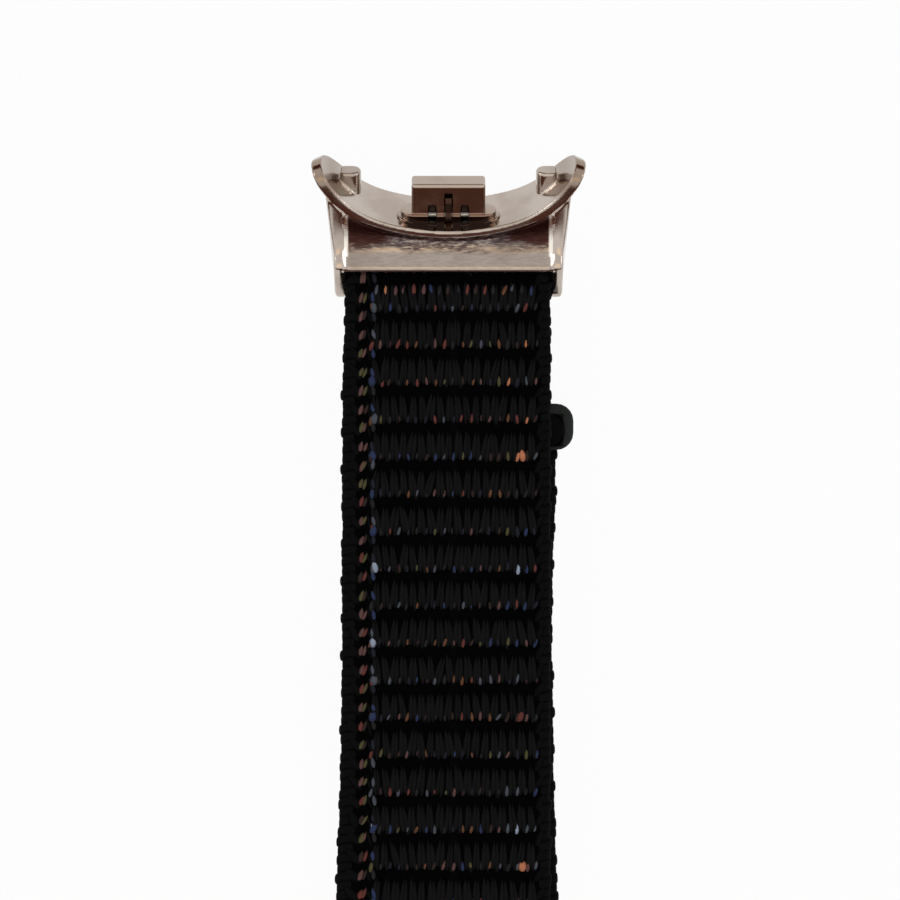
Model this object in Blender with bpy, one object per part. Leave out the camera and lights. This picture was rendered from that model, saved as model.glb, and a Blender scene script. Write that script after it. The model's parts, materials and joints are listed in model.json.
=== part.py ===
"""Hook and loop watch strap: a woven strap between two metal connectors that snap onto a watch case.

It lies flat with its skin side up. X runs across the strap, +Y points to connector A, and Z=0 is the
surface that it lies on. Lengths are metres and angles are degrees.
"""

import math

import bmesh
import bpy
from mathutils import Matrix, Vector

# The strap as a whole
BAR_SPAN = 0.1120
WEB_WIDTH = 0.0200
WEB_THICKNESS = 0.0018
SEAT_GAP = 0.0001
FACE_GAP = 0.00015
CUT_OVERRUN = 0.0010

# Woven ribs and the lines on which the strap bends
RIB_PITCH = 0.00366
RIB_GROOVE_WIDTH = 0.00080
RIB_GROOVE_DEPTH = 0.00035
GROOVE_FLOOR_SHARE = 0.45
RIBS_BEFORE_FIRST_BEND = 2
RIBS_AFTER_LAST_BEND = 2
FIRST_GROOVE = 0.00349
SEGMENTS = 7
CURL_MAX = 37.0
CURL_BACK = 6.0

# Strap bars
BAR_RADIUS = 0.00065
BAR_SEAT_DEPTH = 0.00070
WRAP_GAP = 0.00025

# Sewn end round bar A
SEWN_LENGTH = 0.0096
SEWN_RISE_RUN = 0.0042
SEWN_GAP = 0.00012
THREAD_WIDTH = 0.00035
THREAD_HEIGHT = 0.00025
THREAD_MARGIN = 0.0012
STITCH_PITCH = 0.0020
STITCH_SHARE = 0.62

# Tail, its hook pads and the moulded end tab
TAIL_SKEW = 0.0008
TAIL_END = 0.0127
TAIL_TONGUE_THICKNESS = 0.0012
PAD_THICKNESS = 0.0012
PAD_SIDE_MARGIN = 0.0016
PAD_END_MARGIN = 0.0009
PAD_CHAMFER = 0.00025
TAB_NEAR = 0.01206
TAB_DEPTH = 0.00461
TAB_SIDE = 0.0013
TAB_THICKNESS = 0.0024
TAB_CORNER = 0.0019
TAB_EDGE_ROUND = 0.00045
TAB_RIM = 0.0010
TAB_RECESS_DEPTH = 0.00018

# Saddle of a connector: the curved seat against the watch case
SEAT_TILT = 35.0
SADDLE_NEAR_OUT = 0.00462
SADDLE_NEAR_UP = 0.00440
SADDLE_DEPTH = 0.00645
SADDLE_THICKNESS = 0.00090
SADDLE_RADIUS = 0.0200
EAR_START_INSET = 0.0020
EAR_RADIUS = 0.0090
EAR_NEAR_LENGTH = 0.00775
EAR_FAR_LENGTH = 0.0055
EAR_CORNER = 0.0022

# Body of a connector, behind the saddle
CHEEK_GAP = 0.00018
CHEEK_THICKNESS = 0.00107
CHEEK_FLARE = 0.00075
CHEEK_FRONT_OUT = 0.0010
CHEEK_FRONT_DROP = 0.0005
CHEEK_ROOT = 0.00012
CHEEK_TOP_RISE = 0.0044
LOBE_RADIUS = 0.00155
CAVITY_RADIUS = 0.0030
MOUTH_CLEARANCE = 0.00015
FRONT_BAR_THICKNESS = 0.00085
FRONT_BAR_BEVEL = 0.00025
FRONT_BAR_TOP = 0.0033
BODY_BACK_UP = -0.00145
SADDLE_BOND = 0.00042
SADDLE_INSET = 0.00014

# Guide posts on the saddle
POST_INSET = 0.00045
POST_WIDTH = 0.0020
POST_NEAR = 0.00258
POST_DEPTH = 0.0018
POST_TOP = 0.00503
POST_ROOT = 0.0016
POST_BEVEL = 0.00022

# Tongue that slides into the case
TONGUE_WIDTH = 0.0072
TONGUE_NEAR = 0.00120
TONGUE_DEPTH = 0.0020
TONGUE_TOP = 0.0046
TONGUE_BEVEL = 0.00028
FLANGE_WIDTH = 0.0093
FLANGE_NEAR = 0.00095
FLANGE_DEPTH = 0.0025
FLANGE_HEIGHT = 0.0013
FLANGE_END_DEPTH = 0.0010
FLANGE_END_LENGTH = 0.0009
SKIRT_WIDTH = 0.0100
SKIRT_OVERHANG = 0.00018
SKIRT_HEIGHT = 0.00040
SPIGOT_RADIUS = 0.0005
SPIGOT_CENTRE = 0.0030
SPIGOT_DEPTH = 0.0015
SIDE_NOTCH_PITCH = 0.00158
SIDE_NOTCH_WIDTH = 0.00070
SIDE_NOTCH_DEPTH = 0.00055
LEVER_SLOT_WIDTH = 0.00084
LEVER_SLOT_BACK = 0.00298
LEVER_SLOT_TOP = 0.0036

# Latch lever, its pin, and the release button with its springs and cover
LEVER_WIDTH = 0.0006
PIVOT_IN = 0.0023
PIVOT_UP = 0.00065
PIN_RADIUS = 0.00035
PIN_HALF_LENGTH = 0.0026
PIN_GAP = 0.00008
HUB_RADIUS = 0.00072
NOSE_TOP = 0.0031
NOSE_BOTTOM = 0.0021
NOSE_REACH = 0.00025
NOSE_SLOPE = 0.00045
LEVER_ARM_NEAR = 0.00152
LEVER_ARM_FAR = 0.00222
LEVER_TIP_RADIUS = 0.00030
BUTTON_OUT = 0.00452
BUTTON_TRAVEL = 0.0004
BUTTON_LENGTH = 0.0060
BUTTON_WIDTH = 0.0013
BUTTON_PROUD = 0.0003
BUTTON_LIP = 0.00032
BUTTON_LIP_HEIGHT = 0.00045
BUTTON_BOSS_LENGTH = 0.0018
BUTTON_BOSS_WIDTH = 0.0010
BUTTON_BOSS_TOP = 0.00010
BUTTON_GAP = 0.00012
POCKET_LENGTH = 0.0074
POCKET_WIDTH = 0.0021
COVER_THICKNESS = 0.00035
COVER_LENGTH = 0.0100
COVER_WIDTH = 0.0033
COVER_CORNER = 0.0006
COVER_CENTRE_OUT = 0.00492
SPRING_CENTRE = 0.0023
SPRING_RADIUS = 0.00050
SPRING_WIRE = 0.00010
SPRING_TURNS = 2.5
SPRING_SEAT_GAP = 0.00005
SPRING_PRESSED_SPACE = 0.00143
ARM_SLOT_WIDTH = 0.0010
ARM_SLOT_NEAR = 0.00145
ARM_SLOT_FAR = 0.0036
ARM_SLOT_BOTTOM = 0.00295

# Facets
ARC_STEPS = 10
SADDLE_STEPS = 8
EAR_STEPS = 7
PIN_SIDES = 16
BAR_SIDES = 20
SPRING_SIDES = 6
SPRING_STEPS_PER_TURN = 10
SHARP_ANGLE = 35.0

# Depths across the saddle at which its outline is drawn, as shares of the corner radius and of the rest
CORNER_SHARES = (0.0, 0.06, 0.25, 0.55, 1.0)
CAP_SHARES = (0.0, 0.35, 0.75, 1.0)

# Colours are linear RGB, then roughness and metallic
FINISHES = {
    "cast_nickel": ((0.42, 0.37, 0.34), 0.28, 1.0),
    "polished_steel": ((0.55, 0.53, 0.50), 0.22, 1.0),
    "spring_steel": ((0.40, 0.40, 0.41), 0.32, 1.0),
    "dark_webbing": ((0.011, 0.011, 0.013), 0.92, 0.0),
    "hook_tape": ((0.016, 0.016, 0.017), 0.80, 0.0),
    "sewing_thread": ((0.020, 0.020, 0.022), 0.75, 0.0),
    "tab_plastic": ((0.022, 0.022, 0.021), 0.55, 0.0),
}

# Sizes that follow from the ones above
WRAP_INNER = BAR_RADIUS + WRAP_GAP
WRAP_OUTER = WRAP_INNER + WEB_THICKNESS
TAB_PROUD = (TAB_THICKNESS - WEB_THICKNESS) / 2
BAR_HEIGHT = WRAP_OUTER + TAB_PROUD
BAR_A_Y = BAR_SPAN / 2
BAR_B_Y = -BAR_SPAN / 2
BEND_HEIGHT = BAR_HEIGHT + WRAP_INNER
BEND_NOTCH = FACE_GAP + WEB_THICKNESS * math.tan(math.radians(CURL_MAX / 2))
TAIL_GAP_INNER = FACE_GAP + 2 * WRAP_INNER * math.tan(math.radians(CURL_BACK / 2))
TAIL_GAP_OUTER = FACE_GAP + (WRAP_INNER + WRAP_OUTER) * math.tan(math.radians(CURL_BACK / 2))
FIRST_BEND = FIRST_GROOVE + RIBS_BEFORE_FIRST_BEND * RIB_PITCH
BENDING_LENGTH = BAR_SPAN - FIRST_BEND - RIBS_AFTER_LAST_BEND * RIB_PITCH
RIBS_PER_SEGMENT = int(BENDING_LENGTH / ((SEGMENTS - 2) * RIB_PITCH))
SEGMENT_LENGTH = RIBS_PER_SEGMENT * RIB_PITCH
BENDS = [BAR_A_Y - FIRST_BEND - SEGMENT_LENGTH * i for i in range(SEGMENTS - 1)]
TAB_LENGTH = WEB_WIDTH + 2 * TAB_SIDE
TILT = math.radians(SEAT_TILT)
SADDLE_MIDDLE_HALF = WEB_WIDTH / 2 - EAR_START_INSET
TRANSITION_ANGLE = math.asin(SADDLE_MIDDLE_HALF / SADDLE_RADIUS)
CHEEK_INSIDE = WEB_WIDTH / 2 + CHEEK_GAP
CHEEK_OUTSIDE = CHEEK_INSIDE + CHEEK_THICKNESS
CHEEK_TOP_OUTSIDE = CHEEK_OUTSIDE + CHEEK_FLARE
POST_CENTRE = WEB_WIDTH / 2 - POST_INSET
TAIL_START = BAR_B_Y + LOBE_RADIUS + MOUTH_CLEARANCE
LIP_BOTTOM = BODY_BACK_UP + COVER_THICKNESS + BUTTON_GAP
LIP_TOP = LIP_BOTTOM + BUTTON_LIP_HEIGHT
POCKET_TOP = LIP_TOP + BUTTON_TRAVEL + SPRING_PRESSED_SPACE


def clear_scene():
    for obj in list(bpy.data.objects):
        bpy.data.objects.remove(obj, do_unlink=True)


def make_material(name):
    colour, roughness, metallic = FINISHES[name]
    material = bpy.data.materials.new(name)
    material.use_nodes = True
    surface = material.node_tree.nodes["Principled BSDF"]
    surface.inputs["Base Color"].default_value = (*colour, 1)
    surface.inputs["Roughness"].default_value = roughness
    surface.inputs["Metallic"].default_value = metallic
    material.diffuse_color = (*colour, 1)
    return material


def mesh_of(points, faces):
    """One closed mesh, with its faces turned outward."""
    made = bmesh.new()
    corners = [made.verts.new(point) for point in points]
    for face in faces:
        made.faces.new([corners[i] for i in face])
    bmesh.ops.recalc_face_normals(made, faces=made.faces)
    mesh = bpy.data.meshes.new("shape")
    made.to_mesh(mesh)
    made.free()
    return mesh


def loft(rings):
    """A closed mesh through rings of equally many points, with a flat cap at each end."""
    count = len(rings[0])
    points = [point for ring in rings for point in ring]
    faces = [list(range(count)), list(range(len(points) - count, len(points)))]
    for level in range(len(rings) - 1):
        start = level * count
        for i in range(count):
            j = (i + 1) % count
            faces.append([start + i, start + j, start + count + j, start + count + i])
    return mesh_of(points, faces)


def across(outline, half_width):
    """A (y, z) outline drawn out across the strap."""
    return loft([[Vector((x, y, z)) for y, z in outline] for x in (-half_width, half_width)])


def box(low, high):
    (x0, y0, z0), (x1, y1, z1) = low, high
    corners = ((x0, y0), (x1, y0), (x1, y1), (x0, y1))
    return loft([[Vector((x, y, z)) for x, y in corners] for z in (z0, z1)])


def rod_along_x(radius, x0, x1, y, z, sides):
    turn = 2 * math.pi / sides
    ring = [(y + radius * math.cos(turn * i), z + radius * math.sin(turn * i)) for i in range(sides)]
    return loft([[Vector((x, *point)) for point in ring] for x in (x0, x1)])


def rounded_rectangle(length, width, corner, steps):
    """(x, y) points of a rectangle with round corners, about the origin."""
    points = []
    for quarter, (sign_x, sign_y) in enumerate(((1, 1), (-1, 1), (-1, -1), (1, -1))):
        for i in range(steps + 1):
            angle = (quarter + i / steps) * math.pi / 2
            x = sign_x * (length / 2 - corner) + corner * math.cos(angle)
            y = sign_y * (width / 2 - corner) + corner * math.sin(angle)
            points.append((x, y))
    return points


def pill(length, width):
    return rounded_rectangle(length, width, width / 2, PIN_SIDES // 4)


def stack(levels, centre_y):
    """A closed mesh through (outline, z) levels whose outlines have equally many points."""
    return loft([[Vector((x, centre_y + y, z)) for x, y in outline] for outline, z in levels])


def bevelled(mesh, width, segments, chosen=None):
    """The mesh with its sharp edges bevelled, or only those whose ends satisfy chosen."""
    made = bmesh.new()
    made.from_mesh(mesh)
    edges = [
        edge
        for edge in made.edges
        if edge.calc_face_angle(0) > math.radians(SHARP_ANGLE)
        and (chosen is None or all(chosen(corner.co) for corner in edge.verts))
    ]
    bmesh.ops.bevel(
        made,
        geom=edges,
        offset=width,
        segments=segments,
        profile=0.5,
        affect="EDGES",
        clamp_overlap=True,
    )
    made.to_mesh(mesh)
    made.free()
    return mesh


def combined(mesh, tools):
    """The mesh after a Boolean with each (operation, mesh) in tools, in order."""
    base = bpy.data.objects.new("base", mesh)
    bpy.context.scene.collection.objects.link(base)
    helpers = [base]
    for operation, tool_mesh in tools:
        tool = bpy.data.objects.new("tool", tool_mesh)
        tool.hide_render = True
        tool.display_type = "WIRE"
        bpy.context.scene.collection.objects.link(tool)
        helpers.append(tool)
        change = base.modifiers.new(operation.lower(), "BOOLEAN")
        change.operation = operation
        change.solver = "EXACT"
        change.object = tool
    graph = bpy.context.evaluated_depsgraph_get()
    result = bpy.data.meshes.new_from_object(base.evaluated_get(graph))
    for helper in helpers:
        bpy.data.objects.remove(helper, do_unlink=True)
    return result


def add_part(name, mesh, material, origin=None, parent=None):
    """An object for one piece. Its mesh is given in its parent's space and origin is its joint's place."""
    origin = Vector(origin or (0, 0, 0))
    mesh = mesh.copy()
    mesh.name = name
    mesh.transform(Matrix.Translation(-origin))
    mesh.materials.clear()
    mesh.materials.append(material)
    mesh.shade_smooth()
    mesh.set_sharp_from_angle(angle=math.radians(SHARP_ANGLE))
    obj = bpy.data.objects.new(name, mesh)
    bpy.context.scene.collection.objects.link(obj)
    obj.location = origin
    obj.parent = parent
    return obj


def add_empty(name, location, turn):
    empty = bpy.data.objects.new(name, None)
    empty.empty_display_size = BAR_RADIUS
    bpy.context.scene.collection.objects.link(empty)
    empty.location = location
    empty.rotation_euler = (0, 0, turn)
    return empty


def seat_point(x, inward, rise):
    """Connector coordinates of a place given by its depth in from the saddle's near edge and its height."""
    out = SADDLE_NEAR_OUT + inward * math.sin(TILT) + rise * math.cos(TILT)
    up = SADDLE_NEAR_UP - inward * math.cos(TILT) + rise * math.sin(TILT)
    return Vector((x, out, up))


def seat_box(half_width, near, far, bottom, top, centre=0.0):
    """A box that stands square on the saddle."""
    corners = ((near, bottom), (far, bottom), (far, top), (near, top))
    sides = (centre - half_width, centre + half_width)
    return loft([[seat_point(x, inward, rise) for inward, rise in corners] for x in sides])


def saddle_point(along):
    """x, height and slope angle of the saddle's middle surface, along its curve from the centre."""
    middle_length = SADDLE_RADIUS * TRANSITION_ANGLE
    side = math.copysign(1, along)
    distance = abs(along)
    if distance <= middle_length:
        angle = distance / SADDLE_RADIUS
        x = SADDLE_RADIUS * math.sin(angle)
        height = SADDLE_RADIUS * (1 - math.cos(angle))
        return side * x, height, side * angle
    angle = TRANSITION_ANGLE + (distance - middle_length) / EAR_RADIUS
    x = SADDLE_MIDDLE_HALF + EAR_RADIUS * (math.sin(angle) - math.sin(TRANSITION_ANGLE))
    start = SADDLE_RADIUS * (1 - math.cos(TRANSITION_ANGLE))
    height = start + EAR_RADIUS * (math.cos(TRANSITION_ANGLE) - math.cos(angle))
    return side * x, height, side * angle


def saddle_height(x):
    """Height of the saddle's seat at x."""
    distance = abs(x)
    if distance <= SADDLE_MIDDLE_HALF:
        return SADDLE_RADIUS - math.sqrt(SADDLE_RADIUS**2 - distance**2)
    start = SADDLE_RADIUS * (1 - math.cos(TRANSITION_ANGLE))
    sine = min(math.sin(TRANSITION_ANGLE) + (distance - SADDLE_MIDDLE_HALF) / EAR_RADIUS, 1)
    return start + EAR_RADIUS * (math.cos(TRANSITION_ANGLE) - math.sqrt(1 - sine**2))


def corner_loss(distance, radius):
    """How far a round corner draws an edge in, at a distance from the corner's side."""
    missing = max(radius - distance, 0)
    return radius - math.sqrt(radius**2 - missing**2)


def ear_length(inward):
    """Length of the ear along its curve, past the saddle's middle, at a depth from the near edge."""
    straight = EAR_NEAR_LENGTH + (EAR_FAR_LENGTH - EAR_NEAR_LENGTH) * inward / SADDLE_DEPTH
    far_side = SADDLE_DEPTH - inward
    return straight - corner_loss(inward, EAR_CORNER) - corner_loss(far_side, EAR_CORNER)


def saddle_plate():
    """The curved plate with its two ears, drawn as rows of points across it."""
    near = [EAR_CORNER * share for share in CORNER_SHARES]
    depths = near + [SADDLE_DEPTH - depth for depth in reversed(near)]
    middle_length = SADDLE_RADIUS * TRANSITION_ANGLE
    rings = []
    for inward in depths:
        reach = ear_length(inward)
        half = [middle_length * i / SADDLE_STEPS for i in range(SADDLE_STEPS)]
        half += [middle_length + reach * i / EAR_STEPS for i in range(EAR_STEPS + 1)]
        places = [-along for along in reversed(half[1:])] + half
        upper = []
        lower = []
        for along in places:
            x, height, angle = saddle_point(along)
            drop = SADDLE_THICKNESS * math.cos(angle)
            spread = SADDLE_THICKNESS * math.sin(angle)
            upper.append(seat_point(x, inward, height))
            lower.append(seat_point(x + spread, inward, height - drop))
        rings.append(upper + lower[::-1])
    return loft(rings)


def body_back_out():
    """Where the back of the body meets the underside of the saddle's far edge."""
    return seat_point(0, SADDLE_DEPTH - SADDLE_INSET, -SADDLE_THICKNESS).y


def body_profile():
    """(out, up) points of the body's side, from its front bar over the bar's lobe to its back."""
    face = CAVITY_RADIUS + FRONT_BAR_THICKNESS
    start = math.acos(BAR_RADIUS / LOBE_RADIUS)
    points = [
        (FRONT_BAR_TOP, face),
        (BAR_RADIUS + FRONT_BAR_BEVEL, face),
        (BAR_RADIUS, face - FRONT_BAR_BEVEL),
    ]
    points += arc_points(0, 0, LOBE_RADIUS, start, 3 * math.pi / 2)
    return points + [(body_back_out(), BODY_BACK_UP)]


def cheek_profile():
    """(out, up) points of a cheek's outer side, whose front runs down to the lobe in one slope."""
    face = CAVITY_RADIUS + FRONT_BAR_THICKNESS
    corner = (CHEEK_FRONT_OUT, face - CHEEK_FRONT_DROP)
    start = math.atan2(corner[1], corner[0]) + math.acos(LOBE_RADIUS / math.hypot(*corner))
    shoulder = (CHEEK_FRONT_OUT + CHEEK_FRONT_DROP, face - CHEEK_FRONT_DROP / 3)
    points = [(FRONT_BAR_TOP, face), shoulder, corner]
    points += arc_points(0, 0, LOBE_RADIUS, start, 3 * math.pi / 2)
    return points + [(body_back_out(), BODY_BACK_UP)]


def body_ring(profile, xs, rise):
    """One outline of the body. xs gives x at each profile point, and the last is that of the saddle."""
    ring = [Vector((x, *point)) for x, point in zip(xs, profile)]
    ring.append(seat_point(xs[-1], SADDLE_DEPTH - SADDLE_INSET, rise))
    ring.append(seat_point(xs[-1], SADDLE_INSET, rise))
    return ring


def body_block():
    """The body behind the saddle, before its cuts. Its cheeks spread out to the ears."""
    middle = body_profile()
    outer = cheek_profile()
    sides = [CHEEK_OUTSIDE] * len(outer) + [CHEEK_TOP_OUTSIDE]
    root = CHEEK_INSIDE + CHEEK_ROOT
    root_rise = saddle_height(root) - SADDLE_BOND
    rings = [body_ring(outer, [-x for x in sides], CHEEK_TOP_RISE)]
    rings.append(body_ring(outer, [-root] * len(sides), root_rise))
    for i in range(-SADDLE_STEPS, SADDLE_STEPS + 1):
        x = CHEEK_INSIDE * i / SADDLE_STEPS
        rings.append(body_ring(middle, [x] * len(sides), saddle_height(x) - SADDLE_BOND))
    rings.append(body_ring(outer, [root] * len(sides), root_rise))
    rings.append(body_ring(outer, sides, CHEEK_TOP_RISE))
    return loft(rings)


def strap_cavity():
    """The space between the cheeks that the strap turns in, round its bar."""
    start = math.asin(BODY_BACK_UP / CAVITY_RADIUS)
    end = math.acos(BAR_RADIUS / CAVITY_RADIUS)
    outline = arc_points(0, 0, CAVITY_RADIUS, start, end)
    outline += [
        (-CAVITY_RADIUS, outline[-1][1]),
        (-CAVITY_RADIUS, -CAVITY_RADIUS),
        (outline[0][0], -CAVITY_RADIUS),
    ]
    return across(outline, CHEEK_INSIDE)


def seat_height_of(out, up):
    """Height above the saddle's lowest line of a place in connector coordinates."""
    return (out - SADDLE_NEAR_OUT) * math.cos(TILT) + (up - SADDLE_NEAR_UP) * math.sin(TILT)


def guide_post(side):
    """A post with a square outer side and a round inner side."""
    radius = POST_DEPTH / 2
    middle = POST_NEAR + radius
    inner = POST_CENTRE - POST_WIDTH / 2 + radius
    outer = POST_CENTRE + POST_WIDTH / 2
    outline = [(outer, POST_NEAR + POST_DEPTH), (outer, POST_NEAR)]
    for i in range(ARC_STEPS // 2 + 1):
        angle = -math.pi / 2 - math.pi * i / (ARC_STEPS // 2)
        outline.append((inner + radius * math.cos(angle), middle + radius * math.sin(angle)))
    levels = (POST_ROOT, POST_TOP)
    post = loft([[seat_point(side * x, s, rise) for x, s in outline] for rise in levels])
    top = seat_point(0, middle, POST_TOP)

    def on_top(place):
        return seat_height_of(place.y, place.z) > seat_height_of(top.y, top.z) - SEAT_GAP

    return bevelled(post, POST_BEVEL, 2, on_top)


def pocket_cuts():
    """What is cut from the body for the button, its cover, the latch lever and the tongue's spigots."""
    low = BODY_BACK_UP + COVER_THICKNESS
    bottom = BODY_BACK_UP - CUT_OVERRUN
    pocket = pill(POCKET_LENGTH, POCKET_WIDTH)
    recess = rounded_rectangle(
        COVER_LENGTH + 2 * SEAT_GAP, COVER_WIDTH + 2 * SEAT_GAP, COVER_CORNER, PIN_SIDES // 4
    )
    cuts = [
        ("DIFFERENCE", stack([(pocket, bottom), (pocket, POCKET_TOP)], BUTTON_OUT)),
        ("DIFFERENCE", stack([(recess, bottom), (recess, low + SEAT_GAP)], COVER_CENTRE_OUT)),
        (
            "DIFFERENCE",
            seat_box(ARM_SLOT_WIDTH / 2, ARM_SLOT_NEAR, ARM_SLOT_FAR, -ARM_SLOT_BOTTOM, CUT_OVERRUN),
        ),
    ]
    for side in (-1, 1):
        cuts.append(("DIFFERENCE", spigot(side, SEAT_GAP)))
        bar_end = CHEEK_INSIDE + BAR_SEAT_DEPTH
        start = side * (CHEEK_INSIDE - CUT_OVERRUN)
        radius = BAR_RADIUS + SEAT_GAP
        cuts.append(("DIFFERENCE", rod_along_x(radius, start, side * bar_end, 0, 0, BAR_SIDES)))
    return cuts


def connector_body():
    """The casting: the saddle with its ears and posts, and the hollow body behind it."""
    tools = [("UNION", saddle_plate())]
    tools += [("UNION", guide_post(side)) for side in (-1, 1)]
    tools += [("DIFFERENCE", strap_cavity())]
    return combined(body_block(), tools + pocket_cuts())


def spigot(side, gap):
    """A round stud under the tongue, or with a gap the hole that it stands in."""
    radius = SPIGOT_RADIUS + gap
    bottom = -SPIGOT_DEPTH - gap
    top = FLANGE_HEIGHT / 2
    turn = 2 * math.pi / PIN_SIDES
    ring = [(math.cos(turn * i), math.sin(turn * i)) for i in range(PIN_SIDES)]
    rings = []
    for rise in (bottom, top):
        centre = side * SPIGOT_CENTRE
        rings.append([seat_point(centre + radius * x, PIVOT_IN + radius * y, rise) for x, y in ring])
    return loft(rings)


def flange_slab(width, near, depth, height_at):
    """A slab that follows the saddle below, with an oval outline above."""
    rings = []
    half = width / 2
    flat = half - FLANGE_END_LENGTH
    places = [flat + FLANGE_END_LENGTH * share for share in CAP_SHARES[1:]]
    inner = [flat * i / SADDLE_STEPS for i in range(-SADDLE_STEPS, SADDLE_STEPS + 1)]
    for x in [-place for place in reversed(places)] + inner + places:
        past = max(abs(x) - flat, 0)
        narrow = (depth - FLANGE_END_DEPTH) / 2 * (past / FLANGE_END_LENGTH) ** 2
        bottom = saddle_height(x) + SEAT_GAP
        top = height_at(x)
        corners = ((near + narrow, bottom), (near + depth - narrow, bottom))
        corners += ((near + depth - narrow, top), (near + narrow, top))
        rings.append([seat_point(x, inward, rise) for inward, rise in corners])
    return loft(rings)


def case_tongue():
    """The block that slides into the case, on its oval flange, slotted for the latch lever."""
    flange = flange_slab(FLANGE_WIDTH, FLANGE_NEAR, FLANGE_DEPTH, lambda x: FLANGE_HEIGHT)
    skirt = flange_slab(
        SKIRT_WIDTH,
        FLANGE_NEAR - SKIRT_OVERHANG,
        FLANGE_DEPTH + 2 * SKIRT_OVERHANG,
        lambda x: saddle_height(x) + SKIRT_HEIGHT,
    )
    block = seat_box(
        TONGUE_WIDTH / 2, TONGUE_NEAR, TONGUE_NEAR + TONGUE_DEPTH, FLANGE_HEIGHT / 2, TONGUE_TOP
    )
    block = bevelled(block, TONGUE_BEVEL, 2)
    pin_centre = seat_point(0, PIVOT_IN, PIVOT_UP)
    pin_hole = rod_along_x(
        PIN_RADIUS + PIN_GAP,
        -PIN_HALF_LENGTH - PIN_GAP,
        PIN_HALF_LENGTH + PIN_GAP,
        pin_centre.y,
        pin_centre.z,
        PIN_SIDES,
    )
    front = FLANGE_NEAR - SKIRT_OVERHANG - CUT_OVERRUN
    slot = seat_box(LEVER_SLOT_WIDTH / 2, front, LEVER_SLOT_BACK, -CUT_OVERRUN, LEVER_SLOT_TOP)
    tools = [("UNION", flange), ("UNION", block)]
    tools += [("UNION", spigot(side, 0)) for side in (-1, 1)]
    tools += [("DIFFERENCE", slot), ("DIFFERENCE", pin_hole)]
    for side in (-1, 1):
        notch = seat_box(
            SIDE_NOTCH_WIDTH / 2,
            front,
            FLANGE_NEAR + SIDE_NOTCH_DEPTH,
            SKIRT_HEIGHT + SEAT_GAP,
            FLANGE_HEIGHT + CUT_OVERRUN,
            side * SIDE_NOTCH_PITCH,
        )
        tools.append(("DIFFERENCE", notch))
    return combined(skirt, tools)


def latch_lever():
    """A flat lever: the nose stands out of the tongue, and the arm reaches down to the button."""
    button_top = Vector((BUTTON_OUT, BUTTON_BOSS_TOP + FACE_GAP + LEVER_TIP_RADIUS))
    tip_in = inward_of(button_top.x, button_top.y)
    tip_rise = seat_height_of(button_top.x, button_top.y)
    arm = math.atan2(tip_rise - PIVOT_UP, tip_in - PIVOT_IN)
    outline = [
        (LEVER_ARM_NEAR, NOSE_BOTTOM),
        (TONGUE_NEAR - NOSE_REACH, NOSE_BOTTOM),
        (TONGUE_NEAR - NOSE_REACH, NOSE_TOP - NOSE_SLOPE),
        (TONGUE_NEAR, NOSE_TOP),
        (LEVER_ARM_FAR, NOSE_TOP),
    ]
    outline += arc_points(PIVOT_IN, PIVOT_UP, HUB_RADIUS, math.pi / 4, arm + math.pi / 4)
    outline += arc_points(tip_in, tip_rise, LEVER_TIP_RADIUS, arm + math.pi / 2, arm - math.pi / 2)
    outline += arc_points(
        PIVOT_IN, PIVOT_UP, HUB_RADIUS, arm - math.pi / 4, 3 * math.pi / 4 - 2 * math.pi
    )
    sides = (-LEVER_WIDTH / 2, LEVER_WIDTH / 2)
    lever = loft([[seat_point(x, inward, rise) for inward, rise in outline] for x in sides])
    centre = seat_point(0, PIVOT_IN, PIVOT_UP)
    hole = rod_along_x(
        PIN_RADIUS + PIN_GAP, -LEVER_WIDTH, LEVER_WIDTH, centre.y, centre.z, PIN_SIDES
    )
    return combined(lever, [("DIFFERENCE", hole)])


def inward_of(out, up):
    """Depth in from the saddle's near edge of a place in connector coordinates."""
    return (out - SADDLE_NEAR_OUT) * math.sin(TILT) - (up - SADDLE_NEAR_UP) * math.cos(TILT)


def arc_points(centre_x, centre_y, radius, start, end):
    """Points on an arc from one angle to another, the way that end - start turns."""
    angles = [start + (end - start) * i / ARC_STEPS for i in range(ARC_STEPS + 1)]
    return [(centre_x + radius * math.cos(a), centre_y + radius * math.sin(a)) for a in angles]


def release_button():
    """A pill-shaped cap with a lip that the cover holds in, and a boss under the lever's arm."""
    cap = pill(BUTTON_LENGTH, BUTTON_WIDTH)
    lip = pill(BUTTON_LENGTH + 2 * BUTTON_LIP, BUTTON_WIDTH + 2 * BUTTON_LIP)
    boss = pill(BUTTON_BOSS_LENGTH, BUTTON_BOSS_WIDTH)
    levels = (
        (cap, BODY_BACK_UP - BUTTON_PROUD),
        (cap, LIP_BOTTOM),
        (lip, LIP_BOTTOM),
        (lip, LIP_TOP),
        (boss, LIP_TOP),
        (boss, BUTTON_BOSS_TOP),
    )
    return stack(levels, BUTTON_OUT)


def button_cover():
    """The plate that closes the pocket round the button."""
    plate = rounded_rectangle(COVER_LENGTH, COVER_WIDTH, COVER_CORNER, PIN_SIDES // 4)
    hole = pill(BUTTON_LENGTH + 2 * BUTTON_GAP, BUTTON_WIDTH + 2 * BUTTON_GAP)
    top = BODY_BACK_UP + COVER_THICKNESS
    blank = stack([(plate, BODY_BACK_UP), (plate, top)], COVER_CENTRE_OUT)
    cut = stack([(hole, BODY_BACK_UP - CUT_OVERRUN), (hole, top + CUT_OVERRUN)], BUTTON_OUT)
    return combined(blank, [("DIFFERENCE", cut)])


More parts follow.
